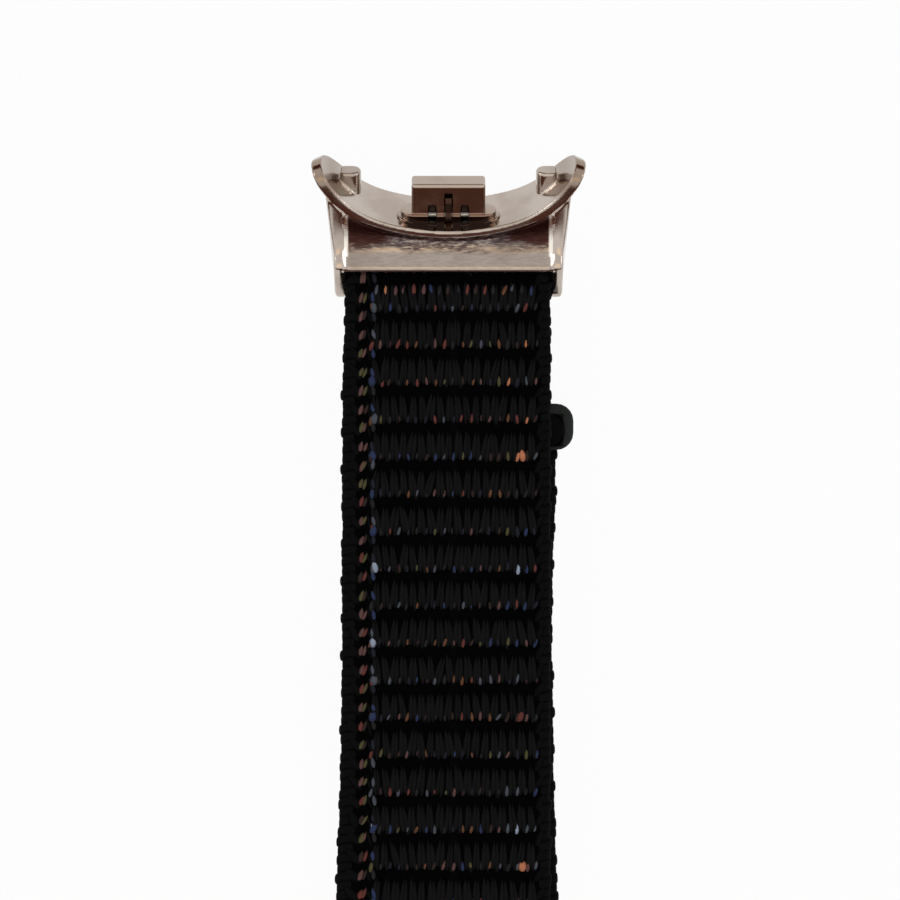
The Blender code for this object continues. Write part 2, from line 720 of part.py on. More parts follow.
def return_spring(side):
    """A coil between the button's lip and the top of its pocket."""
    low = LIP_TOP + SPRING_SEAT_GAP + SPRING_WIRE
    high = POCKET_TOP - SPRING_SEAT_GAP - SPRING_WIRE
    steps = round(SPRING_TURNS * SPRING_STEPS_PER_TURN)
    turn = 2 * math.pi / SPRING_SIDES
    rings = []
    for i in range(steps + 1):
        angle = 2 * math.pi * SPRING_TURNS * i / steps
        height = low + (high - low) * i / steps
        ring = []
        for j in range(SPRING_SIDES):
            reach = SPRING_RADIUS + SPRING_WIRE * math.cos(turn * j)
            x = side * SPRING_CENTRE + reach * math.cos(angle)
            y = BUTTON_OUT + reach * math.sin(angle)
            ring.append(Vector((x, y, height + SPRING_WIRE * math.sin(turn * j))))
        rings.append(ring)
    return loft(rings)


def connector_meshes():
    """The pieces of a connector, as (name, mesh, material, joint place)."""
    pivot = seat_point(0, PIVOT_IN, PIVOT_UP)
    bar_half = CHEEK_INSIDE + BAR_SEAT_DEPTH - SEAT_GAP
    pin = rod_along_x(PIN_RADIUS, -PIN_HALF_LENGTH, PIN_HALF_LENGTH, pivot.y, pivot.z, PIN_SIDES)
    return (
        ("connector_body", connector_body(), "cast_nickel", None),
        ("case_tongue", case_tongue(), "cast_nickel", None),
        ("latch_lever", latch_lever(), "polished_steel", pivot),
        ("latch_pin", pin, "polished_steel", pivot),
        ("release_button", release_button(), "polished_steel", (0, BUTTON_OUT, BODY_BACK_UP)),
        ("button_cover", button_cover(), "cast_nickel", None),
        ("return_spring_left", return_spring(-1), "spring_steel", None),
        ("return_spring_right", return_spring(1), "spring_steel", None),
        (
            "strap_bar",
            rod_along_x(BAR_RADIUS, -bar_half, bar_half, 0, 0, BAR_SIDES),
            "polished_steel",
            None,
        ),
    )


def groove_places(low, high):
    """Y of every groove between two places, clear of both by half a groove."""
    first = BAR_A_Y - FIRST_GROOVE
    places = []
    for i in range(SEGMENTS * RIBS_PER_SEGMENT + RIBS_BEFORE_FIRST_BEND):
        y = first - RIB_PITCH * i
        if low + RIB_GROOVE_WIDTH < y < high - RIB_GROOVE_WIDTH:
            places.append(y)
    return places


def ribbed_face(start, end, level, inward):
    """(y, z) points of a ribbed face from start to end. inward is +1 where its grooves go up, or -1."""
    places = groove_places(min(start, end), max(start, end))
    way = math.copysign(1, end - start)
    if way > 0:
        places.reverse()
    half = RIB_GROOVE_WIDTH / 2
    floor = half * GROOVE_FLOOR_SHARE
    deep = level + inward * RIB_GROOVE_DEPTH
    points = [(start, level)]
    for y in places:
        points += [(y - way * half, level), (y - way * floor, deep)]
        points += [(y + way * floor, deep), (y + way * half, level)]
    return points + [(end, level)]


def wrap_arc(centre_y, radius, start, end):
    """(y, z) points round a strap bar, without the arc's first and last point."""
    angles = [math.radians(start + (end - start) * i / ARC_STEPS) for i in range(1, ARC_STEPS)]
    return [
        (centre_y + radius * math.cos(a), BAR_HEIGHT + radius * math.sin(a)) for a in angles
    ]


def eased(share):
    return share * share * (3 - 2 * share)


def sewn_leg(level, upper):
    """(y, z) points from under bar A to the end of the sewn leg, which rises to meet the strap."""
    rise = upper - level
    points = []
    for i in range(ARC_STEPS + 1):
        share = i / ARC_STEPS
        points.append((BAR_A_Y - SEWN_RISE_RUN * share, level + rise * eased(share)))
    return points + [(BAR_A_Y - SEWN_LENGTH, upper)]


def strap_segment(index):
    """One length of the front strap, between two bends. The first and last go round a strap bar."""
    skin = BAR_HEIGHT + WRAP_OUTER
    inner = BAR_HEIGHT + WRAP_INNER
    start = BENDS[index - 1] if index else BAR_A_Y
    end = BENDS[index] if index < SEGMENTS - 1 else BAR_B_Y
    if index == 0:
        seam = inner - SEWN_GAP
        outline = ribbed_face(end + BEND_NOTCH, start, skin, -1)
        outline += wrap_arc(start, WRAP_OUTER, 90, -90)
        outline += sewn_leg(BAR_HEIGHT - WRAP_OUTER, seam - WEB_THICKNESS)
        outline += sewn_leg(BAR_HEIGHT - WRAP_INNER, seam)[::-1]
        outline += wrap_arc(start, WRAP_INNER, -90, 90)
        outline += [(start, inner), (end + FACE_GAP, inner)]
    elif index == SEGMENTS - 1:
        outline = ribbed_face(start - BEND_NOTCH, end, skin, -1)
        outline += wrap_arc(end, WRAP_OUTER, 90, 270)
        outline += [(end, BAR_HEIGHT - WRAP_OUTER), (TAIL_START, BAR_HEIGHT - WRAP_OUTER)]
        outline += [(TAIL_START, BAR_HEIGHT - WRAP_INNER), (end, BAR_HEIGHT - WRAP_INNER)]
        outline += wrap_arc(end, WRAP_INNER, 270, 90)
        outline += [(end, inner), (start - FACE_GAP, inner)]
    else:
        outline = ribbed_face(start - BEND_NOTCH, end + BEND_NOTCH, skin, -1)
        outline += [(end + FACE_GAP, inner), (start - FACE_GAP, inner)]
    return across(outline, WEB_WIDTH / 2)


def skewed(mesh):
    """The mesh moved sideways along the tail, which lies a little askew on the strap."""
    run = BAR_A_Y - TAB_NEAR - BAR_B_Y
    for corner in mesh.vertices:
        corner.co.x += TAIL_SKEW * (corner.co.y - BAR_B_Y) / run
    return mesh


def tail_segment(index):
    """One length of the tail, from connector B's mouth towards bar A. The last ends in a thin tongue."""
    outer = BAR_HEIGHT - WRAP_OUTER
    inner = BAR_HEIGHT - WRAP_INNER
    start = BENDS[SEGMENTS - 1 - index] if index else TAIL_START
    inner_gap = TAIL_GAP_INNER if index else FACE_GAP
    outer_gap = TAIL_GAP_OUTER if index else FACE_GAP
    if index < SEGMENTS - 2:
        end = BENDS[SEGMENTS - 2 - index]
        outline = ribbed_face(start + outer_gap, end - TAIL_GAP_OUTER, outer, 1)
        outline += [(end - TAIL_GAP_INNER, inner), (start + inner_gap, inner)]
    else:
        end = BAR_A_Y - TAIL_END
        shoulder = BAR_A_Y - TAB_NEAR - TAB_DEPTH - FACE_GAP
        thin = (WEB_THICKNESS - TAIL_TONGUE_THICKNESS) / 2
        outline = ribbed_face(start + outer_gap, shoulder, outer, 1)
        outline += [(shoulder, outer + thin), (end, outer + thin)]
        outline += [(end, inner - thin), (shoulder, inner - thin)]
        outline += [(shoulder, inner), (start + inner_gap, inner)]
    return skewed(across(outline, WEB_WIDTH / 2))


def end_tab():
    """The moulded tab over the tail's end, with a raised rim on both faces."""
    middle_y = BAR_A_Y - TAB_NEAR - TAB_DEPTH / 2
    middle_z = BAR_HEIGHT - (WRAP_INNER + WRAP_OUTER) / 2
    outline = rounded_rectangle(TAB_LENGTH, TAB_DEPTH, TAB_CORNER, ARC_STEPS // 2)
    low = middle_z - TAB_THICKNESS / 2
    high = middle_z + TAB_THICKNESS / 2
    blank = bevelled(stack([(outline, low), (outline, high)], middle_y), TAB_EDGE_ROUND, 3)
    panel = rounded_rectangle(
        TAB_LENGTH - 2 * TAB_RIM, TAB_DEPTH - 2 * TAB_RIM, TAB_CORNER - TAB_RIM, ARC_STEPS // 2
    )
    half_width = WEB_WIDTH / 2 + SEAT_GAP
    half_slot = TAIL_TONGUE_THICKNESS / 2 + SEAT_GAP
    pocket = box(
        (-half_width, middle_y - TAB_DEPTH / 2 - CUT_OVERRUN, middle_z - half_slot),
        (half_width, BAR_A_Y - TAIL_END + SEAT_GAP, middle_z + half_slot),
    )
    upper = stack([(panel, high - TAB_RECESS_DEPTH), (panel, high + CUT_OVERRUN)], middle_y)
    lower = stack([(panel, low - CUT_OVERRUN), (panel, low + TAB_RECESS_DEPTH)], middle_y)
    cuts = [("DIFFERENCE", tool) for tool in (upper, lower, pocket)]
    return skewed(combined(blank, cuts))


def hook_pad(near, far):
    """A strip of hook tape on the tail's inner face, from near to far as distances from bar A."""
    bottom = BAR_HEIGHT - WRAP_INNER + SEAT_GAP
    top = bottom + PAD_THICKNESS
    half = WEB_WIDTH / 2 - PAD_SIDE_MARGIN
    pad = box((-half, BAR_A_Y - far, bottom), (half, BAR_A_Y - near, top))

    def on_top(place):
        return place.z > (bottom + top) / 2

    return skewed(bevelled(pad, PAD_CHAMFER, 1, on_top))


def stitch_row(place):
    """A seam under the sewn leg: a thread with a raised stitch on every pitch."""
    surface = BAR_HEIGHT + WRAP_INNER - SEWN_GAP - WEB_THICKNESS - SEAT_GAP
    y = BAR_A_Y - place
    half_run = WEB_WIDTH / 2 - THREAD_MARGIN
    count = round(2 * half_run / STITCH_PITCH)
    pitch = 2 * half_run / count
    rings = []
    for i in range(count):
        start = -half_run + pitch * i
        for share, thick in ((0, False), (1 - STITCH_SHARE, False), (1 - STITCH_SHARE, True)):
            rings.append((start + pitch * share, thick))
        rings.append((start + pitch, True))
    points = []
    for x, thick in rings:
        half = THREAD_WIDTH / 2 if thick else THREAD_WIDTH / 4
        drop = THREAD_HEIGHT if thick else THREAD_HEIGHT / 2
        corners = ((y - half, surface - drop), (y + half, surface - drop))
        corners += ((y + half, surface), (y - half, surface))
        points.append([Vector((x, *corner)) for corner in corners])
    return loft(points)


def build():
    clear_scene()
    materials = {name: make_material(name) for name in FINISHES}
    pieces = connector_meshes()
    for letter, y, turn in (("a", BAR_A_Y, 0), ("b", BAR_B_Y, math.pi)):
        frame = add_empty(f"connector_{letter}", (0, y, BAR_HEIGHT), turn)
        for name, mesh, finish, origin in pieces:
            add_part(f"{name}_{letter}", mesh, materials[finish], origin, frame)
    webbing = materials["dark_webbing"]
    for index in range(SEGMENTS):
        y = BENDS[index - 1] if index else BAR_A_Y
        z = BEND_HEIGHT if index else BAR_HEIGHT
        add_part(f"strap_{index + 1}", strap_segment(index), webbing, (0, y, z))
    for index in range(SEGMENTS - 1):
        y = BENDS[SEGMENTS - 1 - index] if index else TAIL_START
        z = BEND_HEIGHT if index else BAR_HEIGHT - WRAP_OUTER
        add_part(f"tail_{index + 1}", tail_segment(index), webbing, (0, y, z))
    last_bend = (0, BENDS[1], BEND_HEIGHT)
    add_part("end_tab", end_tab(), materials["tab_plastic"], last_bend)
    near = TAB_NEAR + TAB_DEPTH + PAD_END_MARGIN
    for index in range(2):
        far = BAR_A_Y - BENDS[index + 1] - PAD_END_MARGIN
        y = BENDS[index + 1]
        pad = hook_pad(near, far)
        add_part(f"hook_pad_{index + 1}", pad, materials["hook_tape"], (0, y, BEND_HEIGHT))
        near = far + 2 * PAD_END_MARGIN
    for index in range(2):
        place = SEWN_RISE_RUN + (SEWN_LENGTH - SEWN_RISE_RUN) * (1 + 2 * index) / 4
        row = stitch_row(place)
        origin = (0, BAR_A_Y, BAR_HEIGHT)
        add_part(f"stitch_row_{index + 1}", row, materials["sewing_thread"], origin)


build()
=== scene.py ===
"""Looks of a hook and loop watch strap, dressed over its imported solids."""

import sys
import json
import logging
import math
from collections.abc import Callable, Mapping, Sequence
from dataclasses import dataclass, replace
from enum import Enum

import bmesh
import bpy
import numpy as np
from mathutils import Matrix, Vector

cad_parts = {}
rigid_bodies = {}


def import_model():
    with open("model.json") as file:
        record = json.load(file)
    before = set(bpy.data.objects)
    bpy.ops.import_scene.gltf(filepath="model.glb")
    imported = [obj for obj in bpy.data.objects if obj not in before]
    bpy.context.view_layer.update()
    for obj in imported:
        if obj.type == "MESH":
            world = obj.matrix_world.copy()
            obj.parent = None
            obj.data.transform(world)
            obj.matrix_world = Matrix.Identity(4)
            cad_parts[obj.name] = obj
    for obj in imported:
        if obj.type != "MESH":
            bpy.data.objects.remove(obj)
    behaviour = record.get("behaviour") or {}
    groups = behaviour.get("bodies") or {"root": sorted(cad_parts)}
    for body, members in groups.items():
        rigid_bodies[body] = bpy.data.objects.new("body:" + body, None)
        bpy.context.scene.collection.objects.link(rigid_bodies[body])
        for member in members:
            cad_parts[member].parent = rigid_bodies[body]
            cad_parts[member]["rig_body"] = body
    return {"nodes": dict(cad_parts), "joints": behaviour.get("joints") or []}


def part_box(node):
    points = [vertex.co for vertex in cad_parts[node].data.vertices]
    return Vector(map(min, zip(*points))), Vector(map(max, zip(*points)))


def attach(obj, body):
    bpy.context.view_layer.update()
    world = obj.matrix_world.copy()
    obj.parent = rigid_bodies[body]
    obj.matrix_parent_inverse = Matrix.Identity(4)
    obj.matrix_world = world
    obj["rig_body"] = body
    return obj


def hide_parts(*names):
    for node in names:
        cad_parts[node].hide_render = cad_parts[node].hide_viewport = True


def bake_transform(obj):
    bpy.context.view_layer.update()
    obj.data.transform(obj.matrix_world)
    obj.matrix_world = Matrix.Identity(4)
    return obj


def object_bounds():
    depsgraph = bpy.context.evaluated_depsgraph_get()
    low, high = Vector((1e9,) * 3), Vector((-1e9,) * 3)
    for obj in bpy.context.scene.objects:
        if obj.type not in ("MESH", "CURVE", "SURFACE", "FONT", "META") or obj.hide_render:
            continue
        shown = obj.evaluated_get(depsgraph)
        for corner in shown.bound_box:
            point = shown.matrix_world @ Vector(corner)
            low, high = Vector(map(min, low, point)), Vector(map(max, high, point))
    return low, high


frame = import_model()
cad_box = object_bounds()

LOG = logging.getLogger("strap")
Colour = tuple[float, float, float, float]
MM = 0.001
WHITE: Colour = (1.0, 1.0, 1.0, 1.0)


def srgb(red: float, green: float, blue: float) -> Colour:
    """A colour in linear light, from its usual 0 to 255 values."""
    shares = (red / 255, green / 255, blue / 255)
    linear = [s / 12.92 if s <= 0.04045 else ((s + 0.055) / 1.055) ** 2.4 for s in shares]
    return (linear[0], linear[1], linear[2], 1.0)


def eased(share: np.ndarray) -> np.ndarray:
    """Shares from 0 to 1 that start and stop gently."""
    held = np.clip(share, 0.0, 1.0)
    return held * held * (3 - 2 * held)


@dataclass(frozen=True)
class Wire:
    """An output socket. Arithmetic on it adds Math nodes."""

    shader: "Shader"
    socket: bpy.types.NodeSocket

    def math(self, operation: str, other: "Wire | float" = 0.0, turned: bool = False) -> "Wire":
        """One Math node on this wire and another number, which comes first when turned."""
        inputs = {0: other, 1: self} if turned else {0: self, 1: other}
        return self.shader.node("ShaderNodeMath", {"operation": operation}, inputs)

    def __add__(self, other: "Wire | float") -> "Wire":
        """The sum."""
        return self.math("ADD", other)

    def __radd__(self, other: float) -> "Wire":
        """The sum, with the number first."""
        return self.math("ADD", other, turned=True)

    def __sub__(self, other: "Wire | float") -> "Wire":
        """The difference."""
        return self.math("SUBTRACT", other)

    def __rsub__(self, other: float) -> "Wire":
        """The difference, with the number first."""
        return self.math("SUBTRACT", other, turned=True)

    def __mul__(self, other: "Wire | float") -> "Wire":
        """The product."""
        return self.math("MULTIPLY", other)

    def __rmul__(self, other: float) -> "Wire":
        """The product, with the number first."""
        return self.math("MULTIPLY", other, turned=True)

    def __truediv__(self, other: "Wire | float") -> "Wire":
        """The quotient."""
        return self.math("DIVIDE", other)

    def __abs__(self) -> "Wire":
        """The size, without its sign."""
        return self.math("ABSOLUTE")

    def eased(self, low: float, high: float) -> "Wire":
        """A share that goes smoothly from 0 at low to 1 at high, which may be the smaller one."""
        settings = {"interpolation_type": "SMOOTHSTEP"}
        ends = {1: min(low, high), 2: max(low, high)}
        share = self.shader.node("ShaderNodeMapRange", settings, {0: self, **ends})
        return share if low < high else 1.0 - share


class Shader:
    """The node tree of a material or of the world."""

    def __init__(self, tree: bpy.types.NodeTree) -> None:
        """Starts an empty tree."""
        self.tree = tree
        tree.nodes.clear()

    def node(
        self,
        kind: str,
        settings: Mapping[str, object],
        inputs: Mapping[int | str, object],
        output: int | str = 0,
    ) -> Wire:
        """Adds one node.

        Args:
            kind: The node's type.
            settings: Its properties, which are set first.
            inputs: A value or a wire for each socket that is set.
            output: The socket that is handed back.

        Returns:
            The chosen output.
        """
        made = self.tree.nodes.new(kind)
        for name, value in settings.items():
            setattr(made, name, value)
        for key, value in inputs.items():
            if isinstance(value, Wire):
                self.tree.links.new(value.socket, made.inputs[key])
            else:
                made.inputs[key].default_value = value
        return Wire(self, made.outputs[output])

    def mixed(self, share: Wire, first: object, second: object) -> Wire:
        """A colour that goes from the first to the second as the share goes from 0 to 1."""
        inputs = {0: share, 6: first, 7: second}
        return self.node("ShaderNodeMix", {"data_type": "RGBA"}, inputs, 2)

    def place(self, output: str) -> Wire:
        """A texture coordinate, such as the object's own or its UV map."""
        return self.node("ShaderNodeTexCoord", {}, {}, output)

    def axes(self, vector: Wire) -> tuple[Wire, ...]:
        """The three numbers of a coordinate."""
        return tuple(
            self.node("ShaderNodeSeparateXYZ", {}, {0: vector}, axis) for axis in range(3)
        )

    def stretched(self, vector: Wire, scale: tuple[float, float, float]) -> Wire:
        """A coordinate scaled along its own axes."""
        inputs = {0: vector, 1: scale}
        return self.node("ShaderNodeVectorMath", {"operation": "MULTIPLY"}, inputs)

    def noise(self, vector: Wire, scale: float, detail: float, roughness: float = 0.5) -> Wire:
        """Soft noise from 0 to 1, with so many blobs to a unit of the coordinate."""
        inputs = {"Vector": vector, "Scale": scale, "Detail": detail, "Roughness": roughness}
        return self.node("ShaderNodeTexNoise", {}, inputs)

    def bump(self, height: Wire, distance: float) -> Wire:
        """A normal that follows a height, of which 1 is the distance in metres."""
        inputs = {"Strength": 1.0, "Distance": distance, "Height": height}
        return self.node("ShaderNodeBump", {}, inputs)

    def glossy_or(self, *kinds: str) -> Wire:
        """1 for glossy rays and rays of the other kinds, and else 0."""
        seen = self.node("ShaderNodeLightPath", {}, {}, "Is Glossy Ray")
        for kind in kinds:
            other = self.node("ShaderNodeLightPath", {}, {}, f"Is {kind} Ray")
            seen = seen.math("MAXIMUM", other)
        return seen

    def end(self, kind: str, surface: Wire) -> None:
        """Links the finished surface to the tree's output node."""
        made = self.tree.nodes.new(kind)
        self.tree.links.new(surface.socket, made.inputs["Surface"])


class Finish:
    """What a surface is made of. Each kind says its name and its surface."""

    name: str

    def surface(self, shader: Shader) -> Wire:
        """The shader of this finish."""
        raise NotImplementedError

    def material(self) -> bpy.types.Material:
        """The one material of this finish, made when it is first asked for."""
        found = bpy.data.materials.get(self.name)
        if found is not None:
            return found
        made = bpy.data.materials.new(self.name)
        made.use_nodes = True
        shader = Shader(made.node_tree)
        shader.end("ShaderNodeOutputMaterial", self.surface(shader))
        return made


class Plating(Finish):
    """Plated metal with fine marks, in a darker shade in soft patches."""

    colour: Colour
    shade: Colour

    def plating(self, shader: Shader, place: Wire, mark_size: float) -> tuple[Wire, Wire, Wire]:
        """The plating's colour, its patches and its marks."""
        patch = shader.noise(place, 0.25 / MM, 3.0).eased(0.42, 0.68)
        marks = shader.noise(place, 1.0 / mark_size, 2.0, 0.6)
        return shader.mixed(patch * 0.6, self.colour, self.shade), patch, marks

    @staticmethod
    def metal(shader: Shader, colour: Wire, roughness: Wire, normal: Wire) -> Wire:
        """The shader of bare metal."""
        inputs = {"Base Color": colour, "Metallic": 1.0, "Roughness": roughness, "Normal": normal}
        return shader.node("ShaderNodeBsdfPrincipled", {}, inputs)


@dataclass(frozen=True)
class PlatedMetal(Plating):
    """Polished or satin plating, duller in its patches."""

    name: str
    colour: Colour
    shade: Colour
    roughness: float
    mark_size: float
    mark_depth: float

    def surface(self, shader: Shader) -> Wire:
        """The shader of this finish."""
        colour, patch, marks = self.plating(shader, shader.place("Object"), self.mark_size)
        roughness = self.roughness + 0.08 * patch + 0.05 * marks
        normal = shader.bump(marks * (0.3 + 0.7 * patch), self.mark_depth)
        return self.metal(shader, colour, roughness, normal)


@dataclass(frozen=True)
class Yarn(Finish):
    """Twisted filament yarn. Its UV map runs across the yarn and, in millimetres, along it."""

    name: str
    colour: Colour
    lit: Colour
    sheen: float = 0.25
    fibres: float = 5.0
    gloss: float = 0.22

    def surface(self, shader: Shader) -> Wire:
        """The shader of this finish."""
        place = shader.place("UV")
        parts, along, _ = shader.axes(place)
        strands = shader.noise(shader.stretched(place, (self.fibres, 1.1, 0.0)), 2.0, 2.0, 0.6)
        slub = shader.noise(place, 0.9, 2.0)
        # Painted shade: each yarn is painted darker towards its sides and lighter along its
        # middle, towards its lit colour; slubs and strands add random tone.
        edge = abs(parts - 0.5).eased(0.2, 0.5)
        twist = ((parts * self.fibres + along * 1.6) * 6.28).math("SINE")
        share = (0.30 + 0.5 * slub + 0.3 * strands) * (1.0 - 0.65 * edge)
        inputs = {
            "Base Color": shader.mixed(share.eased(0.2, 0.85), self.colour, self.lit),
            "Roughness": 0.62 + 0.2 * strands,
            "Sheen Weight": self.sheen,
            "Sheen Roughness": 0.4,
            "Specular IOR Level": self.gloss,
            "Normal": shader.bump(strands * 0.6 + twist * 0.2, 0.035 * MM),
        }
        return shader.node("ShaderNodeBsdfPrincipled", {}, inputs)


@dataclass(frozen=True)
class Moulding(Finish):
    """Fine-grained moulded plastic, lighter on its raised rim than in its panel."""

    name: str
    panel: Colour
    rim: Colour
    middle: tuple[float, float]
    half_panel: tuple[float, float]

    def surface(self, shader: Shader) -> Wire:
        """The shader of this finish."""
        place = shader.place("Object")
        x, y, _ = shader.axes(place)
        out_x = (abs(x - self.middle[0]) / self.half_panel[0]).eased(0.975, 1.01)
        out_y = (abs(y - self.middle[1]) / self.half_panel[1]).eased(0.9, 1.06)
        on_rim = 1.0 - (1.0 - out_x) * (1.0 - out_y)
        grain = shader.noise(place, 6.0 / MM, 3.0, 0.6)
        # The rim is lighter than the panel, in soft blotches of noise.
        rim_blotches = shader.noise(place, 0.7 / MM, 3.0)
        share = on_rim * (0.75 + 0.4 * rim_blotches)
        inputs = {
            "Base Color": shader.mixed(share, self.panel, self.rim),
            "Roughness": 0.46 + 0.16 * grain + 0.1 * on_rim,
            "Specular IOR Level": 0.05,
            "Normal": shader.bump(grain, 0.012 * MM),
        }
        return shader.node("ShaderNodeBsdfPrincipled", {}, inputs)


@dataclass(frozen=True)
class Paper(Finish):
    """White paper on the table, which stays white to the camera and keeps a shadow."""

    name: str = "table_paper"
    whiteness: float = 0.9
    clear: float = 0.95

    def surface(self, shader: Shader) -> Wire:
        """The shader of this finish."""
        fibres = shader.noise(shader.place("Object"), 1.0 / (8 * MM), 3.0)
        white, off_white = (
            (*(self.whiteness * share for share in shares), 1.0)
            for shares in ((1.0, 1.0, 1.0), (0.99, 0.985, 0.98))
        )
        colour = shader.mixed(fibres, white, off_white)
        sheet = shader.node("ShaderNodeBsdfDiffuse", {}, {"Color": colour})
        glow = shader.node("ShaderNodeEmission", {}, {"Color": WHITE})
        seen = shader.glossy_or("Camera", "Transmission")
        return shader.node("ShaderNodeMixShader", {}, {0: seen * self.clear, 1: sheet, 2: glow})


class FleckTint(Enum):
    """The coloured yarns between the ribs' floats, each with its colour and lit colour."""

    CORAL = (srgb(54, 21, 19), srgb(101, 50, 43))
    ORANGE = (srgb(56, 31, 17), srgb(101, 64, 40))
    ROSE = (srgb(52, 31, 31), srgb(96, 66, 62))
    BLUE = (srgb(14, 20, 38), srgb(38, 50, 84))
    SLATE = (srgb(30, 33, 39), srgb(75, 79, 87))
    OLIVE = (srgb(37, 34, 19), srgb(80, 75, 44))
    BROWN = (srgb(20, 12, 11), srgb(44, 27, 23))
    NAVY = (srgb(5, 7, 12), srgb(17, 20, 32))
    DUSK = (srgb(8, 7, 8), srgb(24, 22, 23))
    PALE = (srgb(80, 87, 102), srgb(152, 161, 178))
    PEACH = (srgb(122, 64, 42), srgb(190, 120, 84))

    def finish(self) -> Yarn:
        """The yarn of this tint."""
        return Yarn(f"fleck_yarn_{self.name.lower()}", *self.value, sheen=0.1, fibres=3.0)


GROUND = Yarn("ground_yarn", srgb(1, 1, 2), srgb(4, 4, 5), sheen=0.0, gloss=0.02)
FLOAT = Yarn("float_yarn", srgb(2, 2, 3), srgb(22, 21, 22), sheen=0.02, gloss=0.035)
EDGE = Yarn("edge_yarn", srgb(2, 2, 3), srgb(13, 13, 14), sheen=0.0, gloss=0.03)
THREAD = Yarn("sewing_thread", srgb(7, 7, 8), srgb(26, 26, 27), sheen=0.05, fibres=3.0, gloss=0.1)
CLOTH_FINISHES = (GROUND, FLOAT, EDGE, *(tint.finish() for tint in FleckTint))
TINTS = tuple(FleckTint)
PLAIN_SHARES = (0.08, 0.08, 0.08, 0.11, 0.13, 0.05, 0.16, 0.14, 0.17, 0.0, 0.0)
BOLD_SHARES = (0.12, 0.12, 0.09, 0.13, 0.15, 0.08, 0.05, 0.04, 0.04, 0.11, 0.07)
FIRST_TINT = len(CLOTH_FINISHES) - len(TINTS)


def joint_of(name: str) -> Mapping[str, object]:
    """A joint of the frame, by its name."""
    return next(joint for joint in frame["joints"] if joint["name"] == name)


def middle_of(node: str) -> Vector:
    """The middle of a node's box."""
    low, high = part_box(node)
    return (low + high) / 2


def linked(name: str, data: bpy.types.ID) -> bpy.types.Object:
    """A new object in the scene."""
    made = bpy.data.objects.new(name, data)
    bpy.context.scene.collection.objects.link(made)
    return made


def quads(rows: int, columns: int, closed: bool) -> np.ndarray:
    """The faces of a grid of points, whose last column may join its first."""
    ends = (rows - 1, columns if closed else columns - 1)
    row, column = np.meshgrid(*(np.arange(end) for end in ends), indexing="ij")
    beside = (column + 1) % columns
    corners = (row, column), (row, beside), (row + 1, beside), (row + 1, column)
    return np.stack([r * columns + c for r, c in corners], axis=-1).reshape(-1, 4)


def all_pairs(first: np.ndarray, second: np.ndarray) -> tuple[np.ndarray, ...]:
    """Each of the first with each of the second, as two flat arrays."""
    return tuple(grid.ravel() for grid in np.meshgrid(first, second, indexing="ij"))


def each(values: np.ndarray) -> np.ndarray:
    """One value for every grid, to go with the points of the grids."""
    return values[:, None, None]


def circle(count: int) -> np.ndarray:
    """Angles spread evenly over a full turn."""
    return np.linspace(0, 2 * math.pi, count, endpoint=False)


def dome(share: np.ndarray) -> np.ndarray:
    """The height of a half circle over a share from -1 to 1."""
    return np.sqrt(np.clip(1 - share**2, 0, 1))


class Skin:
    """Collects grids of points, with their finishes and UV places, for one mesh."""

    def __init__(self) -> None:
        """Starts with nothing."""
        self.points: list[np.ndarray] = []
        self.faces: list[np.ndarray] = []
        self.slots: list[np.ndarray] = []
        self.places: list[np.ndarray] = []
        self.count = 0

    def add(
        self, points: np.ndarray, places: np.ndarray, slots: np.ndarray, closed: bool = False
    ) -> None:
        """Adds grids that are all the same size.

        Args:
            points: Grids by rows by columns by 3.
            places: The UV place of each point, or of all of them.
            slots: The finish of each grid.
            closed: Whether the last column joins the first.
        """
        grids, rows, columns = points.shape[:3]
        if not grids:
            return
        quad = quads(rows, columns, closed)
        starts = self.count + np.arange(grids) * rows * columns
        self.faces.append((quad + each(starts)).reshape(-1, 4))
        self.slots.append(np.repeat(slots, len(quad)))
        self.points.append(points.reshape(-1, 3))
        self.places.append(np.broadcast_to(places, (*points.shape[:3], 2)).reshape(-1, 2))
        self.count += grids * rows * columns

    def add_tube(self, points: np.ndarray, places: np.ndarray) -> None:
        """Adds one grid of the first finish, closed round its rows and capped at both ends."""
        slots = np.zeros(1, int)
        self.add(points[None], places, slots, closed=True)
        for rim, way in ((points[0], -1), (points[-1], 1)):
            half = len(rim) // 2
            cap = np.stack([rim[: half + 1], np.concatenate([rim[:1], rim[half:][::-1]])])
            self.add(cap[::way][None], np.zeros(2), slots)

    def object(self, name: str, finishes: Sequence[Finish]) -> bpy.types.Object:
        """Makes the object.

        Args:
            name: The name of the object and its mesh.
            finishes: The finishes that the slots count through.

        Returns:
            The object, in the scene and at rest.
        """
        faces = np.concatenate(self.faces)
        mesh = bpy.data.meshes.new(name)
        mesh.from_pydata(np.concatenate(self.points).tolist(), [], faces.tolist())
        slots = np.concatenate(self.slots)
        used, slots = np.unique(slots, return_inverse=True)
        for slot in used:
            mesh.materials.append(finishes[slot].material())
        mesh.polygons.foreach_set("material_index", slots.astype(np.int32))
        mesh.polygons.foreach_set("use_smooth", np.ones(len(faces), bool))
        layer = mesh.uv_layers.new(name="yarn")
        layer.data.foreach_set(
            "uv", np.concatenate(self.places)[faces.ravel()].astype(np.float32).ravel()
        )
        mesh.update()
        return linked(name, mesh)


